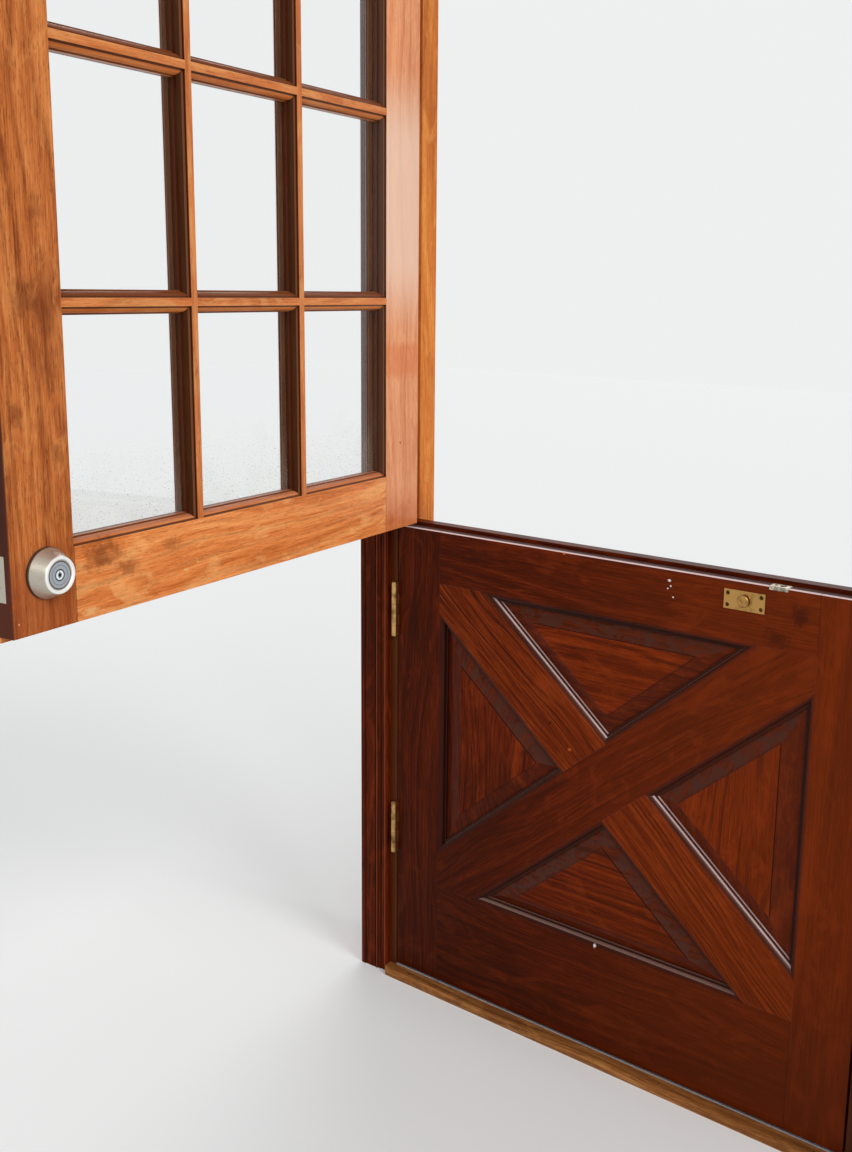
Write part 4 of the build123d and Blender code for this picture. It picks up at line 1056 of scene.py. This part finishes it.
@dataclass
class UpperLeaf:
    """The open leaf with the panes.

    Attributes:
        doorway: Where frame and leaves stand.
        boards: Rails, bars, beads and lip.
        hinge_stile: The stile on the hinges.
        lock_stile: The stile that holds the lock.
        collar_lines: Radius, half width, colour and mattness of each line on the collar; the pale one is a
            painted highlight on its rim.
        key_lines: The same for the cylinder and its plug.
    """

    doorway: Doorway
    boards: tuple[Board, ...] = (
        Board("upper_bottom_rail", Grain.LEVEL, (FOOT_REVEAL_LIGHT_AND_SHEEN, *FILLET_SHADOWS, *UPPER_JOINTS), (
            Fleck((770.0, 44.0, 975.0), 26.0, SMUDGE, 1.6, 0.6, 0.1),
            Fleck((725.0, 44.0, 950.0), 15.0, SMUDGE, 1.8, 0.45, 0.1),
            Fleck((640.0, 44.0, 968.0), 12.0, SMUDGE, 2.2, 0.4, 0.1),
            Fleck((790.0, 44.0, 905.0), 7.0, PALE_WOOD, 2.4, 0.8, 0.3),
            Fleck((806.0, 44.0, 966.0), 8.0, PALE_WOOD, 1.0, 0.45, 0.3),
            Fleck((612.0, 44.0, 925.0), 2.0, PALE_WOOD, 3.0),
            Fleck((588.0, 44.0, 932.0), 1.6, PALE_WOOD, 2.0),
            Fleck((706.0, 38.0, 990.0), 2.2, DARK_HOLE),
        )),
        Board("upper_top_rail", Grain.LEVEL, (LEVEL_REVEAL_LIGHT_AND_SHADOW, *FILLET_SHADOWS, *UPPER_JOINTS)),
        Board("meeting_lip", Grain.LEVEL),
        Board("vertical_bar_left", Grain.UPRIGHT, (*UPRIGHT_LINES, BAR_FACE)),
        Board("vertical_bar_right", Grain.UPRIGHT, (*UPRIGHT_LINES, BAR_FACE)),
        Board("horizontal_bar_low", Grain.LEVEL, BAR_LINES),
        Board("horizontal_bar_high", Grain.LEVEL, BAR_LINES),
        Board("glazing_beads", Grain.UPRIGHT, (DARK_BEADS,)),
    )
    hinge_stile: Board = Board("upper_hinge_stile", Grain.UPRIGHT, (
        # The hinge stile carries painted reflections and painted light.
        ROSY_SKY_REFLECTION, ORANGE_REFLECTION, ORANGE_FOOT_LIGHT, *UPRIGHT_LINES,
    ), (
        Fleck((58.0, 44.0, 1048.0), 2.4, DARK_HOLE, 1.0),
        Fleck((84.0, 44.0, 915.0), 22.0, BURNT, 1.0, 0.5, 0.1),
        Fleck((40.0, 44.0, 920.0), 26.0, BURNT, 1.2, 0.35, 0.1),
    ))
    lock_stile: Board = Board("upper_lock_stile", Grain.UPRIGHT, (
        UPRIGHT_REVEAL_SHADE, *FILLET_SHADOWS, RED_FOOT, LOCK_EDGE,
    ), (
        Fleck((872.0, 44.0, 1300.0), 34.0, SMUDGE, 0.8, 0.5, 0.1),
        Fleck((850.0, 44.0, 1395.0), 26.0, SMUDGE, 0.8, 0.45, 0.1),
        Fleck((894.0, 44.0, 1165.0), 24.0, SMUDGE, 0.7, 0.5, 0.1),
        Fleck((836.0, 44.0, 1110.0), 22.0, SMUDGE, 0.7, 0.4, 0.1),
        Fleck((911.5, 44.0, 936.0), 3.4, BURNT, 0.8, 0.9),
        Fleck((905.0, 44.0, 913.0), 1.4, PALE_WOOD, 1.0),
    ))
    collar_lines: tuple[LineSizes, ...] = (
        # Painted highlight: the pale rim of the collar, mirroring less so that it reads white at any angle.
        (21.0, 2.9, tint(246, 245, 240), 0.65),
        (32.5, 0.9, tint(70, 52, 40), 0.5),
    )
    key_lines: tuple[LineSizes, ...] = (
        (17.0, 1.2, tint(40, 42, 46), 0.4),
        (12.2, 0.7, tint(142, 150, 158), 0.0),
        (6.8, 0.9, tint(34, 36, 42), 0.4),
        (4.6, 1.3, tint(240, 244, 248), 0.4),
        (0.0, 2.9, tint(22, 22, 26), 0.4),
    )

    def dress(self) -> None:
        """Give each piece of the leaf its finish."""
        swung = self.doorway.swung
        # Painted light: the upper leaf takes the sunlit copies of the wood.
        dress_boards(SUNLIT_HONEY, self.boards, swung, 51)
        dress_boards(HINGE_STILE, (self.hinge_stile,), swung, 61)
        dress_boards(LOCK_STILE, (self.lock_stile,), swung, 62)
        foot = swung.local(Vector(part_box("glass_panes")[0])).z
        paint(GlassFinish("clear_glass", tint(196, 186, 172), foot, 0.16).dress(swung), "glass_panes")
        paint(BRASS.dress(swung), "quadrant_plate", "quadrant_arm", "flush_bolt_body", "flush_bolt_rod")
        paint(NICKEL.dress(swung), "inner_rose", "thumb_turn", "bolt_case", "deadbolt_bolt", "faceplate")
        low, high = swung.box("key_plug")
        centre = (low.x + high.x) / 2, (low.z + high.z) / 2
        paint(NICKEL.dress(swung, self.turned_lines(centre, self.collar_lines)), "deadbolt_collar")
        blue = BLUE_STEEL.dress(swung, self.turned_lines(centre, self.key_lines))
        paint(blue, "deadbolt_cylinder", "key_plug")
        LOG.info("upper leaf dressed")

    @staticmethod
    def turned_lines(centre: tuple[float, float], lines: Sequence[LineSizes]) -> list[TurnedLine]:
        """Turned lines round one centre, from their radius, half width, colour and mattness."""
        return [TurnedLine(centre, *sizes) for sizes in lines]


@dataclass
class Hinges:
    """The four butt hinges and the strike.

    Attributes:
        doorway: Where frame and leaves stand.
    """

    doorway: Doorway

    def dress(self) -> None:
        """Give hinges and strike their finish."""
        paint(HINGE.dress(self.doorway.fixed), "frame_hinge_plates", "hinge_pins", "lower_hinge_plates")
        paint(HINGE.dress(self.doorway.swung), "upper_hinge_plates")
        paint(NICKEL.dress(self.doorway.fixed), "deadbolt_strike")
        LOG.info("hinges dressed")


@dataclass(frozen=True)
class HeadPlace:
    """Where one screw head sits.

    Attributes:
        centre: Middle of its face.
        facing: Direction that it faces.
        radius: Its radius.
    """

    centre: Vector
    facing: Vector
    radius: float


class Drive(Enum):
    """How a screw is turned."""

    SLOT = False
    CROSS = True


@dataclass
class HeadTree:
    """The node tree that puts a cut and domed head on every point of a mesh.

    Attributes:
        name: Name of the tree.
        sides: Sides of a head.
        neck: Radius of the shank and depth of the countersink, as a share of the head's radius.
        crown: Radius of the top of the dome, as a share of the head's radius.
        tip: Radius of the shank's tip, as a share of the neck's.
        slot_reach: Length of a slot, as a share of the head's radius.
        cross_reach: Length of each bar of a cross, as a share of the head's radius.
        cutter_height: Height of the cutter, as a multiple of the slot's depth.
        weld: Distance in metres at which its parts join.
        tree: The tree itself.
        given: Its node with the inputs.
    """

    name: str = "driven_heads"
    sides: int = 20
    neck: float = 0.5
    crown: float = 0.74
    tip: float = 0.55
    slot_reach: float = 2.6
    cross_reach: float = 1.15
    cutter_height: float = 4.0
    weld: float = 0.00001
    tree: bpy.types.NodeTree = field(init=False)
    given: bpy.types.Node = field(init=False)

    def build(self) -> bpy.types.NodeTree:
        """Make the tree.

        Returns:
            The tree, with its inputs named.
        """
        self.tree = bpy.data.node_groups.new(self.name, "GeometryNodeTree")
        self.name_inputs()
        self.given = self.tree.nodes.new("NodeGroupInput")
        head = self.head()
        facing = self.add("GeometryNodeInputNamedAttribute", {"data_type": "FLOAT_VECTOR"},
                          {"Name": FACING})
        aimed = self.add("FunctionNodeAlignRotationToVector", {"axis": "Z"},
                         {"Vector": facing.outputs["Attribute"]})
        chance = self.add("FunctionNodeRandomValue", {"data_type": "FLOAT"},
                          {2: 0.0, 3: math.pi, "Seed": self.given.outputs["Seed"]})
        spin = self.add("FunctionNodeAxisAngleToRotation", {}, {"Angle": chance.outputs[1]})
        turned = self.add("FunctionNodeRotateRotation", {"rotation_space": "LOCAL"},
                          {"Rotation": aimed.outputs["Rotation"], "Rotate By": spin.outputs["Rotation"]})
        placed = self.add("GeometryNodeInstanceOnPoints", {}, {
            "Points": self.given.outputs["Places"], "Instance": head, "Rotation": turned.outputs["Rotation"]})
        real = self.add("GeometryNodeRealizeInstances", {}, {"Geometry": placed.outputs["Instances"]})
        done = self.add("GeometryNodeSetMaterial", {}, {
            "Geometry": real.outputs["Geometry"], "Material": self.given.outputs["Finish"]})
        self.add("NodeGroupOutput", {}, {"Heads": done.outputs["Geometry"]})
        return self.tree

    def name_inputs(self) -> None:
        """Give the tree its inputs, with their sizes in metres, and its output."""
        face = self.tree.interface
        face.new_socket("Places", in_out="INPUT", socket_type="NodeSocketGeometry")
        for label, value in (("Head Radius", 0.004), ("Dome", 0.0005), ("Slot Width", 0.0009),
                             ("Slot Depth", 0.0010), ("Shank Length", 0.010)):
            face.new_socket(label, in_out="INPUT", socket_type="NodeSocketFloat").default_value = value
        face.new_socket("Crossed", in_out="INPUT", socket_type="NodeSocketBool")
        face.new_socket("Seed", in_out="INPUT", socket_type="NodeSocketInt").default_value = 7
        face.new_socket("Finish", in_out="INPUT", socket_type="NodeSocketMaterial")
        face.new_socket("Heads", in_out="OUTPUT", socket_type="NodeSocketGeometry")

    def head(self) -> bpy.types.NodeSocket:
        """One countersunk head with its dome and its slot or cross, facing up from its own middle."""
        radius, dome = self.given.outputs["Head Radius"], self.given.outputs["Dome"]
        length = self.given.outputs["Shank Length"]
        neck = self.times(radius, self.neck)
        flare = self.cone(neck, radius, neck, self.times(neck, -1.0))
        cap = self.cone(radius, self.times(radius, self.crown), dome, 0.0)
        foot = self.maths("SUBTRACT", self.times(length, -1.0), neck)
        shank = self.cone(self.times(neck, self.tip), neck, length, foot)
        body = self.add("GeometryNodeJoinGeometry")
        for piece in (flare, cap, shank):
            self.tree.links.new(piece, body.inputs[0])
        fused = self.add("GeometryNodeMergeByDistance", {},
                         {"Geometry": body.outputs[0], "Distance": self.weld})
        cut = self.add("GeometryNodeMeshBoolean", {"operation": "DIFFERENCE", "solver": "EXACT"},
                       {"Mesh 1": fused.outputs[0], "Mesh 2": self.cutter()})
        return cut.outputs["Mesh"]

    def cutter(self) -> bpy.types.NodeSocket:
        """The box or the two crossed boxes that cut the head."""
        radius, width = self.given.outputs["Head Radius"], self.given.outputs["Slot Width"]
        deep = self.given.outputs["Slot Depth"]
        reach = self.add("GeometryNodeSwitch", {"input_type": "FLOAT"}, {
            "Switch": self.given.outputs["Crossed"], "False": self.times(radius, self.slot_reach),
            "True": self.times(radius, self.cross_reach)}).outputs[0]
        tall = self.times(deep, self.cutter_height)
        middle = self.maths("ADD", self.given.outputs["Dome"], self.times(tall, 0.5))
        lift = self.maths("SUBTRACT", middle, deep)
        bars = []
        for wide, long in ((reach, width), (width, reach)):
            size = self.add("ShaderNodeCombineXYZ", {}, {0: wide, 1: long, 2: tall})
            bar = self.add("GeometryNodeMeshCube", {}, {"Size": size.outputs[0]})
            bars.append(self.raised(bar.outputs["Mesh"], lift))
        both = self.add("GeometryNodeMeshBoolean", {"operation": "UNION", "solver": "EXACT"})
        for bar in bars:
            self.tree.links.new(bar, both.inputs["Mesh 2"])
        chosen = self.add("GeometryNodeSwitch", {"input_type": "GEOMETRY"}, {
            "Switch": self.given.outputs["Crossed"], "False": bars[0], "True": both.outputs["Mesh"]})
        return chosen.outputs[0]

    def cone(self, low: Fed, high: Fed, depth: Fed, foot: Fed) -> bpy.types.NodeSocket:
        """A ring of the head.

        Args:
            low: Radius at its foot.
            high: Radius at its top.
            depth: Its height.
            foot: Height of its foot.

        Returns:
            The socket with the ring.
        """
        ring = self.add("GeometryNodeMeshCone", {"fill_type": "NGON"}, {
            "Vertices": self.sides, "Radius Bottom": low, "Radius Top": high, "Depth": depth})
        return self.raised(ring.outputs["Mesh"], foot)

    def raised(self, mesh: bpy.types.NodeSocket, height: Fed) -> bpy.types.NodeSocket:
        """A mesh moved up by a height."""
        shift = self.add("ShaderNodeCombineXYZ", {}, {2: height})
        moved = self.add("GeometryNodeTransform", {}, {"Geometry": mesh, "Translation": shift.outputs[0]})
        return moved.outputs[0]

    def times(self, value: Fed, share: float) -> bpy.types.NodeSocket:
        """A value times a plain number."""
        return self.maths("MULTIPLY", value, share)

    def maths(self, operation: str, first: Fed, second: Fed) -> bpy.types.NodeSocket:
        """Result of a Math node in the tree."""
        return self.add("ShaderNodeMath", {"operation": operation}, {0: first, 1: second}).outputs[0]

    def add(self, kind: str, settings: Settings | None = None,
            inputs: Inputs | None = None) -> bpy.types.Node:
        """Add a node to the tree."""
        return add_node(self.tree, kind, settings, inputs)


@dataclass(frozen=True)
class HeadSet:
    """The screws of one CAD node.

    Attributes:
        node: The CAD node.
        body: The body that they ride on.
        slot: Material slot of the record; not used.
        drive: How they are turned.
        length: Length of the shank in millimetres.
        dome: Height of the dome as a share of the radius, low where two plates fold together.
        bright: Whether they are of pale metal.
    """

    node: str
    body: str
    slot: str
    drive: Drive
    length: float
    dome: float = 0.13
    bright: bool = False


@dataclass
class ScrewHeads:
    """Every screw of the door, as a slotted or crossed head with its shank.

    Attributes:
        doorway: Where frame and leaves stand.
        sets: The screws of each CAD node.
        slot_width: Width of a slot as a share of the head's radius.
        slot_depth: Depth of a slot as a share of the head's radius.
    """

    doorway: Doorway
    sets: tuple[HeadSet, ...] = (
        HeadSet("plate_screws", "lower_leaf", "brass", Drive.SLOT, 7.0),
        HeadSet("lower_hinge_screws", "lower_leaf", "brass", Drive.SLOT, 11.0, 0.02),
        HeadSet("upper_hinge_screws", "upper_leaf", "brass", Drive.SLOT, 11.0, 0.02),
        HeadSet("frame_hinge_screws", "frame", "brass", Drive.SLOT, 11.0, 0.02),
        HeadSet("fitting_screws", "upper_leaf", "brass", Drive.SLOT, 3.5),
        HeadSet("faceplate_screws", "upper_leaf", "satin_nickel", Drive.CROSS, 7.0, bright=True),
        HeadSet("strike_screws", "frame", "satin_nickel", Drive.CROSS, 7.0, bright=True),
    )
    slot_width: float = 0.26
    slot_depth: float = 0.34

    def build(self) -> None:
        """Build the heads of every set and let them stand for the CAD screws."""
        tree = HeadTree().build()
        dark = DARK_BRASS.dress(self.doorway.fixed)
        pale = NICKEL.dress(self.doorway.fixed)
        for seed, heads in enumerate(self.sets, 3):
            places = self.places(heads.node)
            piece = self.piece(tree, heads, places, seed, pale if heads.bright else dark)
            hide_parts(heads.node)
            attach(piece, heads.body)
            LOG.info("%s: %d heads", heads.node, len(places))

    @staticmethod
    def places(node: str) -> list[HeadPlace]:
        """Find the heads in a CAD node.

        Args:
            node: Name of the CAD node, whose loose parts are one screw each.

        Returns:
            One place for each screw.
        """
        source = frame["nodes"][node]
        mesh = bmesh.new()
        mesh.from_mesh(source.data)
        mesh.transform(source.matrix_world)
        bmesh.ops.remove_doubles(mesh, verts=mesh.verts, dist=1e-6)
        mesh.normal_update()
        left = set(mesh.faces)
        found = []
        while left:
            island, queue = [], [left.pop()]
            while queue:
                face = queue.pop()
                island.append(face)
                for edge in face.edges:
                    for other in edge.link_faces:
                        if other in left:
                            left.remove(other)
                            queue.append(other)
            found.append(ScrewHeads.head_of(island))
        mesh.free()
        return sorted(found, key=lambda place: tuple(place.centre))

    @staticmethod
    def head_of(island: Sequence[bmesh.types.BMFace]) -> HeadPlace:
        """Face of one screw, which is the largest flat area of it.

        Args:
            island: Faces of the screw.

        Returns:
            Its place.
        """
        flats: dict[tuple[float, ...], list[bmesh.types.BMFace]] = {}
        for face in island:
            flats.setdefault(tuple(round(value, 2) for value in face.normal), []).append(face)
        flat = max(flats.values(), key=lambda faces: sum(face.calc_area() for face in faces))
        area = sum(face.calc_area() for face in flat)
        centre = sum((face.calc_center_median() * face.calc_area() for face in flat), Vector()) / area
        return HeadPlace(centre, flat[0].normal.copy(), math.sqrt(area / math.pi))

    def piece(self, tree: bpy.types.NodeTree, heads: HeadSet, places: Sequence[HeadPlace], seed: int,
              finish: bpy.types.Material) -> bpy.types.Object:
        """Put the heads on their places and keep them as one plain mesh.

        Args:
            tree: The node tree.
            heads: The set.
            places: Where its heads sit.
            seed: Seed of their turns.
            finish: Their material.

        Returns:
            The finished piece.
        """
        points = bpy.data.meshes.new(f"{heads.node}_places")
        points.from_pydata([place.centre for place in places], [], [])
        facing = points.attributes.new(FACING, "FLOAT_VECTOR", "POINT")
        facing.data.foreach_set("vector", [value for place in places for value in place.facing])
        carrier = bpy.data.objects.new(f"{heads.node}_carrier", points)
        bpy.context.scene.collection.objects.link(carrier)
        modifier = carrier.modifiers.new("heads", "NODES")
        modifier.node_group = tree
        radius = places[0].radius
        wanted = {"Head Radius": radius, "Dome": radius * heads.dome, "Slot Width": radius * self.slot_width,
                  "Slot Depth": radius * self.slot_depth, "Shank Length": heads.length * MM,
                  "Crossed": heads.drive.value, "Seed": seed, "Finish": finish}
        for item in tree.interface.items_tree:
            if item.in_out == "INPUT" and item.name in wanted:
                modifier[item.identifier] = wanted[item.name]
        carrier.update_tag()
        graph = bpy.context.evaluated_depsgraph_get()
        graph.update()
        mesh = bpy.data.meshes.new_from_object(carrier.evaluated_get(graph))
        carrier.modifiers.clear()
        bpy.data.objects.remove(carrier)
        mesh.name = f"{heads.node}_heads"
        piece = bpy.data.objects.new(f"{heads.node}_heads", mesh)
        bpy.context.scene.collection.objects.link(piece)
        return piece


@dataclass
class Studio:
    """Floor, lamps, world and camera.

    Attributes:
        floor_side: Side of the floor in metres.
        lens: Focal length in millimetres.
        sensor: Width of the sensor in millimetres.
        shift: Sideways and upward shift of the picture.
        eye: Where the camera stands.
        yaw: Its turn to the left, in radians.
        pitch: Its tilt upward, in radians.
        roll: Its turn about its own axis, in radians.
        clip_end: How far it sees, in metres.
        floor_colour: Colour of the floor.
        world_light: Colour and strength of the light from all round.
        backdrop: Colour and strength of what camera, metal and glass see behind the door.
        lamps: Name, direction, spread in degrees and strength of each lamp.
    """

    floor_side: float = 30.0
    lens: float = 52.856
    sensor: float = 36.0
    shift: tuple[float, float] = (-0.0649, -0.0380)
    eye: Place3 = (1.02723, -1.72668, 1.33860)
    yaw: float = 0.6430
    pitch: float = -0.2024
    roll: float = -0.0169
    clip_end: float = 100.0
    floor_colour: Colour = (0.86, 0.86, 0.86 * 0.985)
    world_light: tuple[Colour, float] = ((0.93, 0.96, 1.0), 0.42)
    backdrop: tuple[Colour, float] = ((0.86, 0.87, 0.87), 1.0)
    lamps: tuple[tuple[str, Place3, float, float], ...] = (
        ("side_light", (1.0, -0.15, 0.7), 30.0, 1.35),
        ("front_light", (0.75, -1.0, 0.8), 35.0, 0.95),
        ("back_light", (-0.4, 1.0, 0.9), 40.0, 0.80),
    )

    def build(self) -> None:
        """Set the scene round the door."""
        self.floor()
        self.world()
        for name, source, spread, strength in self.lamps:
            self.lamp(name, source, spread, strength)
        self.camera()
        bpy.context.scene.view_settings.view_transform = "Standard"
        LOG.info("studio built")

    def floor(self) -> None:
        """Lay the pale floor under the door."""
        half = self.floor_side / 2
        corners = [(-half, -half, 0.0), (half, -half, 0.0), (half, half, 0.0), (-half, half, 0.0)]
        mesh = bpy.data.meshes.new("floor")
        mesh.from_pydata(corners, [], [(0, 1, 2, 3)])
        mesh.materials.append(Graph("pale_floor").finish({"Base Color": self.floor_colour, "Roughness": 0.9}))
        floor = bpy.data.objects.new("floor", mesh)
        bpy.context.scene.collection.objects.link(floor)

    def world(self) -> None:
        """Light the door evenly and show a pale backdrop to the camera, to metal and to glass."""
        world = bpy.data.worlds.new("pale_room")
        bpy.context.scene.world = world
        world.use_nodes = True
        tree = world.node_tree
        tree.nodes.clear()
        path = add_node(tree, "ShaderNodeLightPath")
        seen = path.outputs["Is Camera Ray"]
        for ray in ("Is Glossy Ray", "Is Transmission Ray"):
            either = add_node(tree, "ShaderNodeMath", {"operation": "MAXIMUM"},
                              {0: seen, 1: path.outputs[ray]})
            seen = either.outputs[0]
        lit, shown = (add_node(tree, "ShaderNodeBackground", {}, {"Color": colour, "Strength": strength})
                      for colour, strength in (self.world_light, self.backdrop))
        mixed = add_node(tree, "ShaderNodeMixShader", {},
                         {"Fac": seen, 1: lit.outputs[0], 2: shown.outputs[0]})
        add_node(tree, "ShaderNodeOutputWorld", {}, {"Surface": mixed.outputs[0]})

    @staticmethod
    def lamp(name: str, source: Place3, spread: float, strength: float) -> None:
        """Set up one wide, far lamp, whose light is even over the floor.

        Args:
            name: Name of the lamp.
            source: Direction that the light comes from.
            spread: How wide it looks, in degrees, which softens its shadows.
            strength: Strength on a surface that faces it.
        """
        data = bpy.data.lights.new(name, "SUN")
        data.angle = math.radians(spread)
        data.energy = strength
        lamp = bpy.data.objects.new(name, data)
        lamp.rotation_euler = (-Vector(source)).to_track_quat("-Z", "Y").to_euler()
        bpy.context.scene.collection.objects.link(lamp)

    def camera(self) -> None:
        """Stand the camera where the photograph was taken from."""
        data = bpy.data.cameras.new("camera")
        data.sensor_fit = "HORIZONTAL"
        data.sensor_width = self.sensor
        data.lens = self.lens
        data.shift_x, data.shift_y = self.shift
        data.clip_end = self.clip_end
        turn = (Matrix.Rotation(self.yaw, 3, "Z") @ Matrix.Rotation(self.pitch, 3, "X")
                @ Matrix.Rotation(self.roll, 3, "Y"))
        right, forward, up = turn.col[0], turn.col[1], turn.col[2]
        camera = bpy.data.objects.new("camera", data)
        axes = Matrix((right, up, -forward)).transposed()
        camera.matrix_world = Matrix.Translation(self.eye) @ axes.to_4x4()
        bpy.context.scene.collection.objects.link(camera)
        bpy.context.scene.camera = camera


def main() -> None:
    """Build and dress the door."""
    logging.basicConfig(level=logging.INFO, format="%(message)s")
    doorway = Doorway()
    for part in (Lining(doorway), LowerLeaf(doorway), UpperLeaf(doorway), Hinges(doorway)):
        part.dress()
    ScrewHeads(doorway).build()
    Studio().build()


if __name__ == "__main__":
    main()
